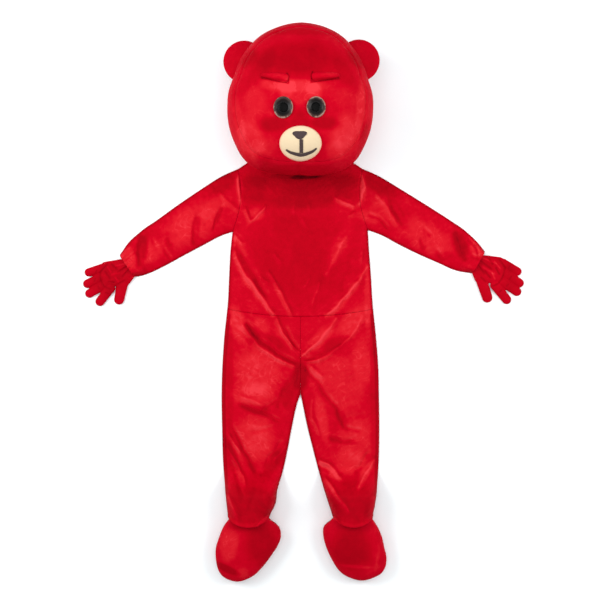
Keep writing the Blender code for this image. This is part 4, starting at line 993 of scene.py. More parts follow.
def head_points(around, turn, inset=0.0):
    """Points of the head's skin: around from the crown, and turned from the face (0) to the back (pi)."""
    angle = np.where(around <= math.pi, around, 2 * math.pi - around)
    edge = np.clip(np.sin(turn), 0, 1) ** (2 / HEAD_FULLNESS)
    reach = (head_radius(angle) - inset) * edge
    x = HEAD_CENTRE.x + reach * np.sin(around + HEAD_TURN)
    y = HEAD_CENTRE.y + reach * np.cos(around + HEAD_TURN)
    rise = np.abs(np.cos(turn)) ** (2 / HEAD_FULLNESS)
    away = np.hypot(x - SNOUT.x, y - SNOUT.y) / SNOUT_REACH
    front = HEAD_CENTRE.z + (HEAD_FRONT - inset) * rise + SNOUT.z * np.exp(-(away**2))
    back = HEAD_CENTRE.z - (HEAD_REAR - inset) * rise
    z = np.where(np.cos(turn) > 0, front, back)
    return np.stack([x, y, np.maximum(z, np.maximum(inset, 0))], axis=-1)


def face_height(x, y):
    """Height of the face panel's outer side at plan points."""
    aside, ahead = x - HEAD_CENTRE.x, y - HEAD_CENTRE.y
    around = (np.arctan2(aside, ahead) - HEAD_TURN) % (2 * math.pi)
    whole_way = head_radius(np.minimum(around, 2 * math.pi - around))
    share = np.minimum(np.hypot(aside, ahead) / whole_way, 1.0)
    turn = np.arcsin(share ** (HEAD_FULLNESS / 2))
    return head_points(around, turn, -seam_relief(turn, around))[..., 2]


print("face height at the muzzle:", round(float(face_height(np.array(-0.01), np.array(0.55))), 4))

# %% Cutting a form with a Boolean


def block_beyond(chin, tone_and_painted_lighte):
    """A block beyond the slanting plane of the neck opening, to cut the panels with."""
    across = (tone_and_painted_lighte - chin).normalized()
    out = Vector((0, across.z, -across.y))
    middle = (chin + tone_and_painted_lighte) / 2
    bm = bmesh.new()
    bmesh.ops.create_cube(bm, size=1.0)
    for v in bm.verts:
        v.co = middle + Vector((v.co.x, 0, 0)) + across * v.co.y + out * (v.co.z + 0.5) * 0.5
    return bm


def cut(bm, cutter):
    """What is left of a bmesh outside another one."""
    objects = []
    for source in (bm, cutter):
        mesh = bpy.data.meshes.new("cut")
        source.to_mesh(mesh)
        objects.append(bpy.data.objects.new("cut", mesh))
        bpy.context.scene.collection.objects.link(objects[-1])
    target, tool = objects
    modifier = target.modifiers.new("cut", "BOOLEAN")
    modifier.operation, modifier.object, modifier.solver = "DIFFERENCE", tool, "EXACT"
    bpy.context.view_layer.update()
    result = bmesh.new()
    result.from_mesh(target.evaluated_get(bpy.context.evaluated_depsgraph_get()).to_mesh())
    for made in objects:
        bpy.data.objects.remove(made, do_unlink=True)
    return result


print("neck opening is", round((NECK_NAPE - NECK_CHIN).length, 3), "m across")

# %% Head panels and the neck opening
HEAD_LIE = 0.10
CREASE_SHADE = 2.0
seam_cut = SEAM_GAP / HEAD_CENTRE.z / 2
# Lines of the creases where the brows are sewn down, along which shade is painted: along the lower edge,
# then up the inner end
PAINTED_BROW_SHADE_LINES = (
    ((-0.140, 0.7645), (-0.0500, 0.7425), (-0.0545, 0.7760)),
    ((0.117, 0.7620), (0.0255, 0.7470), (0.0290, 0.7820)),
)


def light_pile_and_painted_brow_shade(x, y):
    """Light pile, with painted shade only in the creases round the brows."""
    away, _ = nearest(PAINTED_BROW_SHADE_LINES, x, y)
    return HEAD_LIE - CREASE_SHADE * bump(away, 0.0028)


def lie_of_band(x, y):
    """The band's pile lies a little light all over."""
    return HEAD_LIE + 0 * x


HEAD_PILE_AND_PAINTED_SHADE = {"head_face": light_pile_and_painted_brow_shade, "head_gusset": lie_of_band, "head_back": None}
HEAD_PANELS = (
    ("head_face", 0.0, FACE_SEAM - seam_cut, 56),
    ("head_gusset", FACE_SEAM + seam_cut, BACK_SEAM - seam_cut, 70),
    ("head_back", BACK_SEAM + seam_cut, math.pi, 30),
)
around = np.linspace(0, 2 * math.pi, 220, endpoint=False)[None, :]
for name, first, last, rings in HEAD_PANELS:
    turn = np.linspace(first, last, rings + 1)[:, None]
    offset = seam_relief(turn, around)
    outer, inner = head_points(around, turn, -offset), head_points(around, turn, HEAD_WALL - offset)
    bm = cut(wall_mesh(outer, inner, closed=True), block_beyond(NECK_CHIN, NECK_NAPE))
    piece = dress(add_piece(name, bm, red_velvet, HEAD_NAP_AND_PAINTED_SHADE, HEAD_PILE_AND_PAINTED_SHADE[name]), "red_velvet", name)

# %% [markdown]
# ## Ears
# Each ear is two rounds of velvet sewn together and stuffed lightly, then sewn to the head
# over the seam of the face. A flattened ball gives the form. It is drawn in along its rim,
# where the two rounds meet, and it ends at the head's skin.

# %% Ears
EAR_RADIUS = 0.0735
EAR_THICKNESS = 0.044
EAR_PLACES = {"right": (-0.205, 0.854, 0.165), "left": (0.191, 0.858, 0.165)}
EAR_PINCH = 0.030
EAR_PUCKER = 0.06


def ear(side, spans=96, rings=44):
    """A flattened ball, pinched and puckered along its rim."""
    cx, cy, cz = EAR_PLACES[side]
    down = np.linspace(0, math.pi, rings + 1)[:, None]
    turn = np.linspace(0, 2 * math.pi, spans, endpoint=False)[None, :]
    reach = np.sin(down) + 0 * turn
    rim = 1 - EAR_PINCH * bump(np.cos(down), 0.10)
    x = cx + EAR_RADIUS * reach * np.cos(turn) * rim
    y = cy + EAR_RADIUS * reach * np.sin(turn) * rim
    rise = np.sign(np.cos(down)) * np.abs(np.cos(down)) ** 0.8
    along_rim = ripple(turn * 0.07, reach * 0.02, 0.011, 31)
    pucker = 1 + EAR_PUCKER * along_rim * smooth((reach - 0.5) / 0.4)
    z = cz + rise * EAR_THICKNESS / 2 * pucker
    grid = np.stack([x, y, z + 0.0008 * ripple(x, y, 0.03, 32)], axis=-1)
    return ring_form(grid)


turn = np.linspace(0, math.pi, 60)[:, None]
at = np.linspace(0, 2 * math.pi, 96, endpoint=False)[None, :]
head_form = head_points(at, turn, -SEAM_GAP)
for side in ("right", "left"):
    bm = cut(ear(side), ring_form(head_form))
    piece = dress(add_piece(f"ear_{side}", bm, red_velvet, HEAD_NAP_AND_PAINTED_SHADE), "red_velvet", f"ear_{side}")

# %% [markdown]
# ## Laid on the face
# Brows, muzzle, nose, mouth and eyes are laid on the face panel. Each is made from rings round
# its own centre: the underside follows the face and a profile raises the top. The brows are
# stuffed ridges with pinched ends. The muzzle is a padded round of cream pile, and the nose and
# mouth on it are plain felt shapes. The eyes are shallow cups of smoky plastic, moulded with a
# rim, and a black disc sits in each.

# %% Measures of the pieces on the face
MUZZLE_CENTRE = (-0.0105, 0.5480)
MUZZLE_HALF = (0.0700, 0.0546)
MUZZLE_PAD = 0.014
MUZZLE_EDGE = 0.004
SKIN_GAP = 0.0008
SNOUT_GAP = 0.0016
FELT = 0.0025
NOSE_CENTRE = (-0.0130, 0.5720)
NOSE_HALF = (0.0250, 0.0145)
NOSE_ROUND = 0.90
NOSE_POINT = 0.14
MOUTH_WIDTH = 0.010
STEM_WIDTH = 0.012
STEM_REST = 0.60
MOUTH = table(
    "along x y",
    (0.0, -0.0585, 0.5262),
    (1.0, -0.0446, 0.5180),
    (2.0, -0.0255, 0.5125),
    (3.0, -0.0079, 0.5100),
    (4.0, 0.0111, 0.5135),
    (5.0, 0.0310, 0.5215),
    (6.0, 0.0430, 0.5306),
)
EYES = {"right": (-0.0675, 0.6635), "left": (0.0410, 0.6645)}
EYE_HALF = {"right": (0.0325, 0.0360), "left": (0.0315, 0.0350)}
EYE_RIM = 0.007
EYE_FLOOR = 0.002
PUPIL_SHARE = 0.45
PUPIL_THICKNESS = 0.004
# Place, tilt in degrees and how much taller the brow is toward +X
BROWS = {"right": (-0.0960, 0.7663, -10, 0.34), "left": (0.0725, 0.7680, 6, -0.30)}
BROW_HALF = (0.0460, 0.0130)
BROW_HEIGHT = 0.012
print("muzzle is", 2 * MUZZLE_HALF[0], "by", 2 * MUZZLE_HALF[1], "m")

# %% Rings on the face


def patch(centre, half, tilt, outline, profile, rings, spans, lift, wedge=0.0):
    """Rings round a centre on the face: the underside on the face, the top raised by a profile."""
    share = np.linspace(0, 1, rings + 1)[:, None]
    angle = np.linspace(0, 2 * math.pi, spans, endpoint=False)[None, :]
    reach = share * outline(angle)
    a, b = half[0] * reach * np.cos(angle), half[1] * reach * np.sin(angle)
    b = b * (1 + wedge * a / half[0])
    x = centre[0] + a * math.cos(tilt) - b * math.sin(tilt)
    y = centre[1] + a * math.sin(tilt) + b * math.cos(tilt)
    base = face_height(x, y) + lift(x, y)
    top = np.stack([x, y, base + profile(share, angle)], axis=-1)
    return wall_mesh(top, np.stack([x, y, base], axis=-1), closed=True)


def whole(angle):
    """The outline of a round or oval piece."""
    return 1.0 + 0 * angle


def on_skin(x, y):
    """Lift from the face to just above its pile."""
    return SKIN_GAP + 0 * x


def muzzle_profile(share, angle=0.0):
    """A padded round whose edge is turned under and stitched down."""
    stitched = 0.0010 * ripple(angle * 0.066, share * 0.06, 0.008, 41) * smooth((share - 0.75) / 0.2)
    turned_under = MUZZLE_EDGE * dome((1 - share) * 12 + 0.3)
    return turned_under + MUZZLE_PAD * dome(1 - share) + stitched * dome(1 - share)


def on_muzzle(x, y):
    """Lift from the face to just above the muzzle patch."""
    aside, ahead = (x - MUZZLE_CENTRE[0]) / MUZZLE_HALF[0], (y - MUZZLE_CENTRE[1]) / MUZZLE_HALF[1]
    return SNOUT_GAP + muzzle_profile(np.hypot(aside, ahead)) + SEAM_GAP


print("pad of the muzzle at its middle:", round(float(muzzle_profile(np.array(0.0))), 4))

# %% [markdown]
# ## Cream pile and felt
# The muzzle's cloth is a short cream pile, duller than the velvet, with a faint mottle where
# the pile stands unevenly. Near its edge it turns peach, a painted shade where the pad rounds
# down. Felt is pressed wool or polyester: fully matt, with a fibrous mottle and no sheen.

# %% Cream pile and felt
cream_pile, tree, shader, place = surface("cream_short_pile", 0.85)
painted_edge_share = node(tree, "Attribute", {"attribute_name": "tone_and_painted_light"}).outputs["Fac"]
mottle = node(tree, "TexNoise", {}, pattern(place, 9, 3, 0.6)).outputs["Fac"]
mottle_and_painted_edge_shade = node(tree, "Math", SCALE_AND_ADD, {0: mottle, 1: 0.25, 2: painted_edge_share}).outputs[0]
# Cream, turning peach at the edge: a painted shade where the pad rounds down
creams_and_painted_edge_shade = (0.05, "#D9C4A1"), (0.60, "#D9C09C"), (1.00, "#E0A98B")
tint = node(tree, "ValToRGB", {}, {"Fac": mottle_and_painted_edge_shade}, creams_and_painted_edge_shade).outputs["Color"]
tufts = node(tree, "TexNoise", {}, pattern(place, 1.6, 2, 0.7)).outputs["Fac"]
shader.inputs["Sheen Weight"].default_value = 0.2
finish(tree, shader, tint, tufts, 0.5, 0.35)

brown_felt, tree, shader, place = surface("dark_brown_pressed_felt", 0.9)
tint = mottled(tree, pattern(place, 3, 4, 0.7), (0.3, "#332625"), (0.7, "#463636"))
fibres = node(tree, "TexNoise", {}, pattern(place, 1.2, 3, 0.7)).outputs["Fac"]
finish(tree, shader, tint, fibres, 0.4, 0.5)
print("made", cream_pile.name, "and", brown_felt.name)

# %% [markdown]
# ## Plastics of the eyes
# The cups are injection-moulded in smoky plastic, a styrene or acrylic. Their dark colour
# runs from a painted shade, nearly black, at the floor to a warm painted highlight on the
# rim, broken into uneven streaks by a noise.
# The pupils are black moulded plastic, smooth but not polished, so they show no sharp glint.

# %% Plastics of the eyes
smoky_plastic, tree, shader, place = surface("smoky_moulded_plastic", 0.32, 1.49)
painted_light_share = node(tree, "Attribute", {"attribute_name": "tone_and_painted_light"}).outputs["Fac"]
streaks = node(tree, "TexNoise", {}, pattern(place, 14, 2, 0.5)).outputs["Fac"]
streaked_painted_light = node(tree, "Math", SCALE_AND_ADD, {0: streaks, 1: 0.7, 2: painted_light_share}).outputs[0]
rim_light = node(tree, "Math", {"operation": "SUBTRACT"}, {0: streaked_painted_light, 1: 0.35}).outputs[0]
# Dark smoky plastic: painted shade toward the floor, a painted highlight on the rim
smoke_and_painted_light = (0.0, "#090708"), (0.55, "#1B1514"), (0.90, "#43302B"), (0.99, "#94756A")
tint = node(tree, "ValToRGB", {}, {"Fac": rim_light}, smoke_and_painted_light).outputs["Color"]
flow = node(tree, "TexNoise", {}, pattern(place, 6, 2, 0.5)).outputs["Fac"]
shader.inputs["Specular IOR Level"].default_value = 0.15
finish(tree, shader, tint, flow, 0.15, 0.3)

black_plastic, tree, shader, place = surface("black_moulded_plastic", 0.30, 1.49)
tint = mottled(tree, pattern(place, 8, 2, 0.5), (0.3, "#030303"), (0.7, "#060606"))
flow = node(tree, "TexNoise", {}, pattern(place, 5, 2, 0.5)).outputs["Fac"]
shader.inputs["Specular IOR Level"].default_value = 0.05
finish(tree, shader, tint, flow, 0.1, 0.2)
print("made", smoky_plastic.name, "and", black_plastic.name)

# %% [markdown]
# ## Brows, muzzle, nose and mouth
# The brows are velvet tubes stuffed to a low ridge and stitched down, with a painted
# highlight on top and painted shade in the crease below. The muzzle goes on next, then the
# felt nose and mouth, which follow its swell because their underside is worked out from the
# same profile.

# %% Brows
BROW_EDGE = 0.003


def brow_outline(angle):
    """Blunt ends and nearly straight sides."""
    return (np.abs(np.cos(angle)) ** 4 + np.abs(np.sin(angle)) ** 4) ** -0.25


def brow_profile(share, angle):
    """A stuffed ridge, pinched along its lower edge where it is stitched down."""
    return BROW_EDGE + (BROW_HEIGHT - BROW_EDGE) * dome(1 - share) * (1 + 0.10 * np.sin(angle))


for side, (bx, by, degrees, wedge) in BROWS.items():
    tilt = math.radians(degrees)
    bm = patch((bx, by), BROW_HALF, tilt, brow_outline, brow_profile, 20, 72, on_skin, wedge)

    def lit_above(x, y):
        """Painted highlight on the ridge and painted shade on its lower side."""
        across = ((y - by) * math.cos(tilt) - (x - bx) * math.sin(tilt)) / BROW_HALF[1]
        return 0.45 * smooth(across + 0.6) - 1.1 * bump(across + 0.8, 0.35)

    brow = add_piece(f"brow_{side}", bm, red_velvet, HEAD_NAP_AND_PAINTED_SHADE, lit_above)
    dress(brow, "red_velvet", f"brow_{side}")

# %% Muzzle and nose


def nose_outline(angle):
    """A rounded triangle with its point down."""
    return NOSE_ROUND + NOSE_POINT * np.sin(3 * angle)


def felt_height(inside):
    """Felt cut thin at its edge; inside is 0 at the edge and 0.2 or more where it is full."""
    return FELT * (0.55 + 0.45 * dome(inside * 5))


def felt_profile(share, angle):
    """A flat piece of felt, cut thin all round."""
    return felt_height(1 - share)


def on_snout(x, y):
    """Lift from the face to the underside of the muzzle patch."""
    return SNOUT_GAP + 0 * x


def edge_share_for_painted_light(piece, centre, half, first, last):
    """Marks how near each point is to the piece's edge, from 0 inside to 1 at the edge, for painted light
    and shade near the edge.
    """
    points = np.empty(len(piece.data.vertices) * 3)
    piece.data.vertices.foreach_get("co", points)
    points = points.reshape(-1, 3) - CENTRING
    reach = np.hypot((points[:, 0] - centre[0]) / half[0], (points[:, 1] - centre[1]) / half[1])
    at_edge = smooth((reach - first) / (last - first)).astype(np.float32)
    piece.data.attributes["tone_and_painted_light"].data.foreach_set("value", at_edge)


muzzle_bm = patch(MUZZLE_CENTRE, MUZZLE_HALF, 0, whole, muzzle_profile, 34, 120, on_snout)
muzzle = dress(add_piece("muzzle", muzzle_bm, cream_pile), "cream_pile", "muzzle")
edge_share_for_painted_light(muzzle, MUZZLE_CENTRE, MUZZLE_HALF, 0.86, 1.02)
nose_bm = patch(NOSE_CENTRE, NOSE_HALF, 0, nose_outline, felt_profile, 8, 48, on_muzzle)
nose = dress(add_piece("nose", nose_bm, brown_felt), "brown_felt", "nose")

# %% Mouth and its stem


def ribbon(name, points, width):
    """A felt strip laid on the muzzle along a line of plan points, with its width at each."""
    line = np.array(points)
    run = np.gradient(line, axis=0)
    run /= np.hypot(*run.T)[:, None]
    across = np.linspace(-0.5, 0.5, 7)
    x = line[:, :1] - run[:, 1:] * width[:, None] * across
    y = line[:, 1:] + run[:, :1] * width[:, None] * across
    base = face_height(x, y) + on_muzzle(x, y)
    top = np.stack([x, y, base + felt_height(0.5 - np.abs(across))], axis=-1)
    piece = add_piece(name, wall_mesh(top, np.stack([x, y, base], axis=-1)), brown_felt)
    return dress(piece, "brown_felt", name)


last = MOUTH["along"][-1]
steps = np.linspace(0, last, 61)
mouth_line = np.stack([along(MOUTH, "x", steps, "along"), along(MOUTH, "y", steps, "along")], axis=-1)
taper = MOUTH_WIDTH * (0.5 + 0.5 * np.sin(math.pi * steps / last))
mouth = ribbon("mouth", mouth_line, taper)
stem_x, mouth_y = mouth_line[len(mouth_line) // 2]
stem_top = NOSE_CENTRE[1] - NOSE_HALF[1] * (NOSE_ROUND + NOSE_POINT) - SEAM_GAP
stem_low = mouth_y + MOUTH_WIDTH * STEM_REST
stem_line = [(stem_x, stem_top + (stem_low - stem_top) * i / 16) for i in range(17)]
stem = ribbon("mouth_stem", stem_line, np.full(17, STEM_WIDTH))

# %% [markdown]
# ## Eyes
# Each eye is a shallow cup with a pupil set on its floor. A lathe could turn them, but the cups
# are a little oval and lie on a curved face, so they are rings with a profile too.

# %% Eyes
RIM_SHARE = 0.93


def eye_profile(share, angle):
    """A shallow cup: a flat floor, a rising side and a rounded rim."""
    side_wall = EYE_FLOOR + (EYE_RIM - EYE_FLOOR) * smooth((share - PUPIL_SHARE) / (0.9 - PUPIL_SHARE))
    rim = 0.5 * EYE_RIM + 0.5 * EYE_RIM * dome((1 - share) / (1 - RIM_SHARE))
    return np.where(share > RIM_SHARE, rim, side_wall)


def on_cup_floor(x, y):
    """Lift from the face to just above the floor of an eye cup."""
    return SKIN_GAP + EYE_FLOOR + SEAM_GAP + 0 * x


def pupil_profile(share, angle):
    """A disc with a rounded edge."""
    return PUPIL_THICKNESS * (0.5 + 0.5 * dome(1.02 - share, 2.6))


for side, centre in EYES.items():
    half = EYE_HALF[side]
    cup_bm = patch(centre, half, 0, whole, eye_profile, 40, 72, on_skin)
    cup = add_piece(f"eye_cup_{side}", cup_bm, smoky_plastic)
    edge_share_for_painted_light(dress(cup, "smoky_plastic", f"eye_cup_{side}"), centre, half, 0.40, 1.02)
    pupil_half = (half[0] * PUPIL_SHARE, half[1] * PUPIL_SHARE)
    pupil_bm = patch(centre, pupil_half, 0, whole, pupil_profile, 14, 48, on_cup_floor)
    dress(add_piece(f"pupil_{side}", pupil_bm, black_plastic), "black_plastic", f"pupil_{side}")

# %% [markdown]
# ## Shoes
# Each shoe is a soft padded boot over a foot: a velvet upper that narrows to the ankle under
# the trouser hem, on a thin rubber sole. The upper is lofted from the ankle opening to the
# widest line and tucked in to the sole.

# %% Outlines of the shoes
SHOES = {
    "right": table(
        "x y",
        (-0.196, -0.664), (-0.234, -0.678), (-0.248, -0.708), (-0.258, -0.740), (-0.284, -0.776),
        (-0.304, -0.825), (-0.313, -0.860), (-0.311, -0.903), (-0.300, -0.940), (-0.276, -0.963),
        (-0.233, -0.974), (-0.184, -0.957), (-0.148, -0.925), (-0.115, -0.882), (-0.090, -0.843),
        (-0.080, -0.811), (-0.087, -0.778), (-0.115, -0.754), (-0.147, -0.714), (-0.158, -0.678),
    ),
    "left": table(
        "x y",
        (0.176, -0.664), (0.214, -0.678), (0.228, -0.708), (0.240, -0.740), (0.263, -0.776),
        (0.279, -0.812), (0.288, -0.850), (0.296, -0.887), (0.292, -0.922), (0.270, -0.950),
        (0.215, -0.970), (0.165, -0.960), (0.130, -0.938), (0.103, -0.899), (0.080, -0.848),
        (0.070, -0.805), (0.074, -0.775), (0.098, -0.754), (0.128, -0.714), (0.138, -0.678),
    ),
}
ANKLES = {"right": (-0.200, -0.724, 0.088), "left": (0.180, -0.724, 0.088)}
ANKLE_HALF = (0.036, 0.044)
SHOE_WIDEST = 0.042
SHOE_NAP = (
    (-262, -836, 36, 66, -10, 0.8), (-215, -938, 26, 22, 10, 0.6), (-272, -923, 50, 14, -24, -1.6),
    (-147, -840, 56, 78, 10, -1.0), (-205, -760, 70, 30, 0, -0.6), (172, -850, 74, 88, 0, -1.1),
    (190, -914, 60, 7, -4, 0.8), (261, -890, 7, 50, -8, 0.4), (100, -900, 7, 40, 24, 0.4),
)
for side, rows in SHOES.items():
    print(side, "shoe is", round(float(np.ptp(rows["x"])), 3), "by", round(float(np.ptp(rows["y"])), 3), "m")

# %% Rings of a shoe
TUCKED = 1.3
TUCK = 0.006


def shoe_rings(side, share, spans, inset=0.0):
    """Rings of the upper, from the ankle (0) to its widest (1), then tucked in to the sole (1.3)."""
    rows, (ankle_x, ankle_y, ankle_z) = SHOES[side], ANKLES[side]
    count = len(rows["x"])
    wrap = np.arange(-3, count + 4)
    loop = {"at": wrap, "x": rows["x"][wrap % count], "y": rows["y"][wrap % count]}
    middle = np.array((rows["x"].mean(), rows["y"].mean()))
    share = np.asarray(share)[:, None]
    turn = np.minimum(share, 1.0) * math.pi / 2
    tuck = np.maximum(share - 1.0, 0.0) / (TUCKED - 1)
    step = np.arange(spans)[None, :] / spans
    edge = np.stack([along(loop, c, count * step, "at") for c in "xy"], axis=-1)
    flip = -1 if side == "right" else 1
    angle = math.pi / 2 - flip * 2 * math.pi * step
    ankle = [ankle_x + ANKLE_HALF[0] * np.cos(angle), ankle_y + ANKLE_HALF[1] * np.sin(angle)]
    ankle = np.stack(ankle, axis=-1)
    plan = ankle + (edge - ankle) * np.sin(turn)[..., None]
    inward = (middle - edge) / np.hypot(*np.moveaxis(middle - edge, -1, 0))[..., None]
    plan = plan + inward * (inset * np.sin(turn) + TUCK * tuck)[..., None]
    low = ON_CLOTH + SHOE_SOLE + SEAM_GAP
    z = SHOE_WIDEST + (ankle_z - SHOE_WIDEST) * np.cos(turn) ** 0.9 - inset * np.cos(turn)
    return np.concatenate([plan, ((z + (low - z) * tuck) + 0 * step)[..., None]], axis=-1)


ankle_ring = shoe_rings("left", [0.0], 8)[0]
print("ankle opening is", round(float(np.ptp(ankle_ring[:, 0])), 3), "m wide")

# %% [markdown]
# The soles are sheet foam rubber, moulded with a fine texture and cut to shape. They are matt
# and darker than the velvet, with a groove round the edge where two layers are glued.

# %% Foam rubber of the soles
sole_rubber, tree, shader, place = surface("red_foam_rubber_sole", 0.7)
tint = mottled(tree, pattern(place, 4, 3, 0.6), (0.3, "#7E0C18"), (0.7, "#92121F"))
grain = node(tree, "TexNoise", {}, pattern(place, 2.5, 2, 0.6)).outputs["Fac"]
finish(tree, shader, tint, grain, 0.4, 0.5)
print("made", sole_rubber.name)

# %% Shoes
SHOE_SPANS = 160
SHOE_SHARES = np.concatenate([np.linspace(0, 1, 61), np.linspace(1.02, TUCKED, 12)])
UPPER_UNEVENNESS = 0.0010
# Height in metres above the sole's underside, and the share of the full width there
SOLE_LEVELS = (
    (0.0, 0.985), (0.0012, 1.0), (0.0035, 1.0), (0.0045, 0.990), (0.0055, 1.0), (0.0088, 1.0),
    (SHOE_SOLE, 0.988),
)


def shoe_upper(side):
    """The padded velvet upper, with soft unevenness below the ankle."""
    outer = shoe_rings(side, SHOE_SHARES, SHOE_SPANS)
    inner = shoe_rings(side, SHOE_SHARES, SHOE_SPANS, SHOE_WALL)
    below_ankle = smooth((SHOE_SHARES - 0.35) / 0.2)[:, None]
    soft = UPPER_UNEVENNESS * ripple(outer[..., 0], outer[..., 1], 0.035, 51) * below_ankle
    outer[..., 2] += soft * (SHOE_SHARES[:, None] < 1.1)
    bm = wall_mesh(outer, inner, closed=True)
    return add_piece(f"shoe_upper_{side}", bm, red_velvet, SHOE_NAP)


def shoe_sole(side):
    """The sole: level rings from the middle of its underside to the middle of its top."""
    edge = shoe_rings(side, np.array([TUCKED]), SHOE_SPANS)[0]
    middle = edge.mean(axis=0)
    rings = []
    for height, width in ((0.0, 0.0), *SOLE_LEVELS, (SHOE_SOLE, 0.0)):
        ring = middle + (edge - middle) * width
        ring[:, 2] = ON_CLOTH + height
        rings.append(ring)
    return add_piece(f"shoe_sole_{side}", ring_form(np.array(rings)), sole_rubber)


for side in ("right", "left"):
    dress(shoe_upper(side), "red_velvet", f"shoe_upper_{side}")
    dress(shoe_sole(side), "sole_rubber", f"shoe_sole_{side}")

# %% [markdown]
# ## Gloves
# Each glove is cut as a palm and a back, sewn round the fingers and turned. The fingers are
# flattened balls and hulls, joined by a voxel remesh, which also rounds the crotches between
# the fingers as the turned seam does. Small folds are then pressed in across the knuckles
# and at the wrist. The remesh leaves enough points for them.

# %% Fingers and palms
# Each row is a finger: its root, its tip and its half-width at both
GLOVES = {
    "right": table(
        "root_x root_y tip_x tip_y root_r tip_r",
        (-0.7250, 0.1430, -0.7715, 0.1290, 0.0160, 0.0145),
        (-0.7270, 0.1110, -0.7765, 0.0880, 0.0160, 0.0150),
        (-0.7160, 0.0850, -0.7690, 0.0530, 0.0165, 0.0150),
        (-0.6950, 0.0720, -0.7310, 0.0240, 0.0175, 0.0160),
        (-0.6510, 0.0870, -0.6625, 0.0310, 0.0200, 0.0175),
    ),
    "left": table(
        "root_x root_y tip_x tip_y root_r tip_r",
        (0.7180, 0.1620, 0.7690, 0.1320, 0.0160, 0.0150),
        (0.7230, 0.1280, 0.7765, 0.0905, 0.0165, 0.0155),
        (0.7120, 0.0980, 0.7675, 0.0595, 0.0170, 0.0155),
        (0.6900, 0.0820, 0.7305, 0.0310, 0.0180, 0.0160),
        (0.6420, 0.0960, 0.6610, 0.0385, 0.0200, 0.0180),
    ),
}
# Balls under the skin of the palm
PALMS = {
    "right": table(
        "x y r",
        (-0.6230, 0.1660, 0.0150),
        (-0.6055, 0.1400, 0.0150),
        (-0.7100, 0.1480, 0.0190),
        (-0.7080, 0.0960, 0.0180),
        (-0.6400, 0.1010, 0.0190),
    ),
    "left": table(
        "x y r",
        (0.6200, 0.1790, 0.0150),
        (0.6090, 0.1600, 0.0150),
        (0.7030, 0.1650, 0.0190),
        (0.7030, 0.1090, 0.0180),
        (0.6340, 0.1090, 0.0190),
    ),
}
GLOVE_CENTRE = 0.006
GLOVE_HALF = 0.008
WRIST_BENDS = (0.006, 0.036)
GLOVE_CLOTH = 0.0016
GLOVE_EASE = 0.0008
GLOVE_VOXEL = 0.0016
# Creases and ridges of each glove: ends, width and height in mm
GLOVE_FOLDS = {
    "right": (
        (-702, 160, -730, 128, 3, -1.6), (-730, 128, -728, 100, 3, -1.4), (-728, 100, -716, 78, 3, -1.4),
        (-716, 78, -690, 66, 3, -1.2), (-668, 84, -640, 100, 3, -1.2), (-640, 160, -676, 150, 4, 1.2),
        (-632, 150, -668, 128, 3, -1.4), (-626, 140, -650, 112, 3, -1.4), (-660, 130, -690, 118, 5, 1.0),
        (-690, 160, -668, 138, 3, -1.6), (-704, 150, -690, 128, 3, 1.4), (-712, 132, -692, 104, 3, -1.4),
        (-700, 96, -676, 92, 3, -1.4), (-676, 112, -662, 92, 3, 1.4), (-742, 136, -746, 124, 2.5, -1.2),
        (-746, 108, -750, 94, 2.5, -1.2), (-738, 80, -730, 66, 2.5, -1.2), (-712, 56, -698, 50, 2.5, -1.2),
    ),
    "left": (
        (702, 176, 724, 146, 3, -1.6), (724, 146, 716, 112, 3, -1.4), (716, 112, 700, 88, 3, -1.4),
        (700, 88, 676, 78, 3, -1.2), (656, 94, 636, 112, 3, -1.2), (634, 184, 690, 160, 4, 1.4),
        (626, 176, 676, 140, 3, -1.6), (618, 164, 650, 124, 3, -1.4), (640, 150, 690, 120, 5, 1.2),
        (664, 180, 680, 158, 3, -1.6), (684, 170, 708, 140, 3, 1.6), (690, 146, 704, 120, 3, -1.6),
        (650, 134, 672, 108, 3, -1.6), (676, 128, 688, 102, 3, 1.4), (742, 154, 736, 140, 2.5, -1.2),
        (748, 116, 740, 102, 2.5, -1.2), (736, 88, 728, 76, 2.5, -1.2), (712, 66, 702, 56, 2.5, -1.2),
    ),
}
GLOVE_NAP = {
    "right": ((-705, 100, 60, 60, 0, -0.5),),
    "left": ((690, 110, 50, 40, 30, 0.15), (740, 110, 30, 60, 0, -0.4)),
}
# The pile is dark, with painted shade in the creases and a painted highlight on the ridges
GLOVE_LIE = -0.42
GLOVE_PAINTED_LIGHT_BY_FOLD = 620
# Creases are pressed in this much deeper than the table says
CREASE_GAIN = 1.3
WRIST_GATHER = 0.0012
WRIST_WAVE = 0.0030
WRIST_REACH = 0.022
print(len(GLOVES["left"]["tip_x"]), "fingers a hand and", len(GLOVE_FOLDS["left"]), "creases")

# %% Skin of a glove


def glove_folds(side, x, y):
    """Height of the glove's creases, which run straight."""
    return fold_height(np.asarray(x), np.asarray(y), GLOVE_FOLDS[side], 0.0)


def hull_of_balls(balls):
    """The convex skin round flattened balls, given as x, y and radius."""
    bm = bmesh.new()
    for x, y, radius in balls:
        for down in np.linspace(0, math.pi, 13):
            for turn in np.linspace(0, 2 * math.pi, 28, endpoint=False):
                reach = (radius + GLOVE_EASE) * math.sin(down)
                z = GLOVE_CENTRE + GLOVE_HALF * math.cos(down)
                bm.verts.new((x + reach * math.cos(turn), y + reach * math.sin(turn), z))
    bmesh.ops.remove_doubles(bm, verts=bm.verts, dist=1e-6)
    bmesh.ops.convex_hull(bm, input=bm.verts)
    bmesh.ops.delete(bm, geom=[v for v in bm.verts if not v.link_faces], context="VERTS")
    return bm


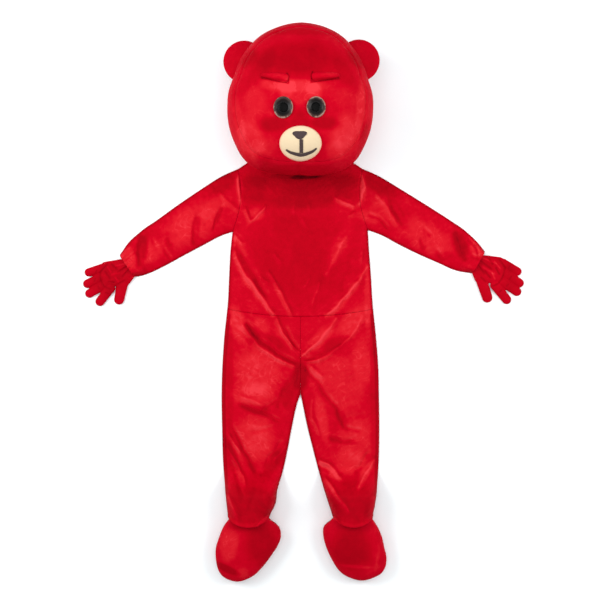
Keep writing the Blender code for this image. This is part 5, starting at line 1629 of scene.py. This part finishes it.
def joined(shapes):
    """The shapes as one closed skin."""
    merged = bpy.data.meshes.new("hand")
    bm = bmesh.new()
    for shape in shapes:
        shape.to_mesh(merged)
        bm.from_mesh(merged)
    bm.to_mesh(merged)
    made = bpy.data.objects.new("hand", merged)
    bpy.context.scene.collection.objects.link(made)
    remesh = made.modifiers.new("skin", "REMESH")
    remesh.mode, remesh.voxel_size = "VOXEL", GLOVE_VOXEL
    smoother = made.modifiers.new("ease", "SMOOTH")
    smoother.iterations, smoother.factor = 3, 0.5
    bpy.context.view_layer.update()
    result = bmesh.new()
    result.from_mesh(made.evaluated_get(bpy.context.evaluated_depsgraph_get()).to_mesh())
    bpy.data.objects.remove(made, do_unlink=True)
    return result


fingertip = hull_of_balls([(0.0, 0.0, 0.015)])
print("the hull of one ball has", len(fingertip.faces), "faces")
fingertip.free()

# %% Gloves


def hand(side):
    """One closed skin over the palm and the five fingers."""
    shapes = [list(zip(*PALMS[side].values()))]
    for root_x, root_y, tip_x, tip_y, root_r, tip_r in zip(*GLOVES[side].values()):
        shapes.append([(root_x, root_y, root_r), (tip_x, tip_y, tip_r)])
    return joined([hull_of_balls(balls) for balls in shapes])


def glove(side):
    """The hand cut open at the wrist, raised there onto the cuff's lower cloth, creased and gathered."""
    bm, rows = hand(side), SLEEVES[side]
    cuff = Vector(cuff_middle(rows))
    cuff_run = Vector((rows["top_x"][-1] - rows["low_x"][-1], rows["top_y"][-1] - rows["low_y"][-1]))
    cuff_run.normalize()
    up_arm = Vector((-cuff_run.y, cuff_run.x)) * (1 if side == "left" else -1)
    opening = {"plane_co": (*(cuff + up_arm * 0.008), 0.0), "plane_no": (*up_arm, 0.0)}
    skin = bm.verts[:] + bm.edges[:] + bm.faces[:]
    bmesh.ops.bisect_plane(bm, geom=skin, clear_outer=True, **opening)
    for v in bm.verts:
        away = (cuff - v.co.xy).dot(up_arm)
        wrist = 1 - min(max((away - WRIST_BENDS[0]) / (WRIST_BENDS[1] - WRIST_BENDS[0]), 0.0), 1.0)
        crease = CREASE_GAIN * float(glove_folds(side, v.co.x, v.co.y))
        wave = math.sin((v.co.xy - cuff).dot(cuff_run) / WRIST_WAVE)
        gathered = WRIST_GATHER * wave * math.exp(-max(away, 0.0) / WRIST_REACH)
        if v.co.z > GLOVE_CENTRE:
            v.co.z += (crease + gathered) * min((v.co.z - GLOVE_CENTRE) / 0.005, 1.0)
        v.co.z = max(v.co.z, 0.0) + ON_CLOTH * wrist

    def dark_pile_and_painted_creases(x, y):
        """Dark pile, with painted shade in the creases and a painted highlight on the ridges."""
        return GLOVE_LIE + GLOVE_PAINTED_LIGHT_BY_FOLD * glove_folds(side, x, y)

    return add_piece(f"glove_{side}", bm, red_velvet, GLOVE_NAP[side], dark_pile_and_painted_creases)


for side in ("right", "left"):
    made = dress(glove(side), "red_velvet", f"glove_palm_{side}", f"glove_back_{side}")
    cloth = made.modifiers.new("cloth", "SOLIDIFY")
    cloth.thickness, cloth.offset = GLOVE_CLOTH, -1.0

# %% [markdown]
# ## Floor, light and camera
# The costume was laid on a white floor and photographed from straight above in even, bright
# light. Two large soft lights stand at the sides and one hangs above, so that the folds are
# modelled gently and the shadows stay pale. The floor is matt white background paper, with
# hardly any pattern. The camera looks straight down.

# %% Floor
FLOOR_REACH = 6.0
FLOOR_DROP = 0.0002
bm = bmesh.new()
bmesh.ops.create_grid(bm, x_segments=24, y_segments=24, size=FLOOR_REACH)
mesh = bpy.data.meshes.new("floor")
bm.to_mesh(mesh)
bm.free()
floor = bpy.data.objects.new("floor", mesh)
bpy.context.scene.collection.objects.link(floor)
floor.location.z = -FLOOR_DROP
paper, tree, shader, place = surface("white_studio_paper", 0.9)
tint = mottled(tree, pattern(place, 400, 2, 0.5), (0.3, "#F0F7F9"), (0.7, "#F5FBFD"))
tree.links.new(tint, shader.inputs["Base Color"])
mesh.materials.append(paper)
print("floor is", 2 * FLOOR_REACH, "m wide in", paper.name)

# %% Light and camera


def soft_light(name, place, target, size, power):
    """A square softbox at a place, turned to its target; size in metres, power in watts."""
    data = bpy.data.lights.new(name, "AREA")
    data.shape, data.size, data.energy = "SQUARE", size, power
    made = bpy.data.objects.new(name, data)
    made.location = place
    made.rotation_euler = (Vector(target) - Vector(place)).to_track_quat("-Z", "Y").to_euler()
    bpy.context.scene.collection.objects.link(made)


DAYLIGHT = 0.47
soft_light("softbox_left", (-2.6, 0.9, 2.6), (0.0, 0.1, 0.0), 1.8, 86)
soft_light("softbox_right", (2.6, 0.5, 2.6), (0.0, 0.0, 0.0), 1.8, 68)
soft_light("softbox_above", (0.0, 0.6, 4.6), (0.0, 0.0, 0.0), 3.0, 62)
world = bpy.data.worlds.new("studio")
world.use_nodes = True
world.node_tree.nodes["Background"].inputs["Color"].default_value = (1, 1, 1, 1)
world.node_tree.nodes["Background"].inputs["Strength"].default_value = DAYLIGHT
bpy.context.scene.world = world
bpy.context.scene.view_settings.view_transform = "Standard"

CAMERA_HEIGHT = 4.3
FIELD_WIDTH = 2.16
FILM_WIDTH = 36.0
PICTURE_CENTRE = (-0.0122, 0.0270)
lens = bpy.data.cameras.new("camera")
lens.sensor_width = FILM_WIDTH
lens.lens = FILM_WIDTH * CAMERA_HEIGHT / FIELD_WIDTH
camera = bpy.data.objects.new("camera", lens)
camera.location = (*PICTURE_CENTRE, CAMERA_HEIGHT)
bpy.context.scene.collection.objects.link(camera)
bpy.context.scene.camera = camera
print("lens", round(lens.lens, 2), "mm")
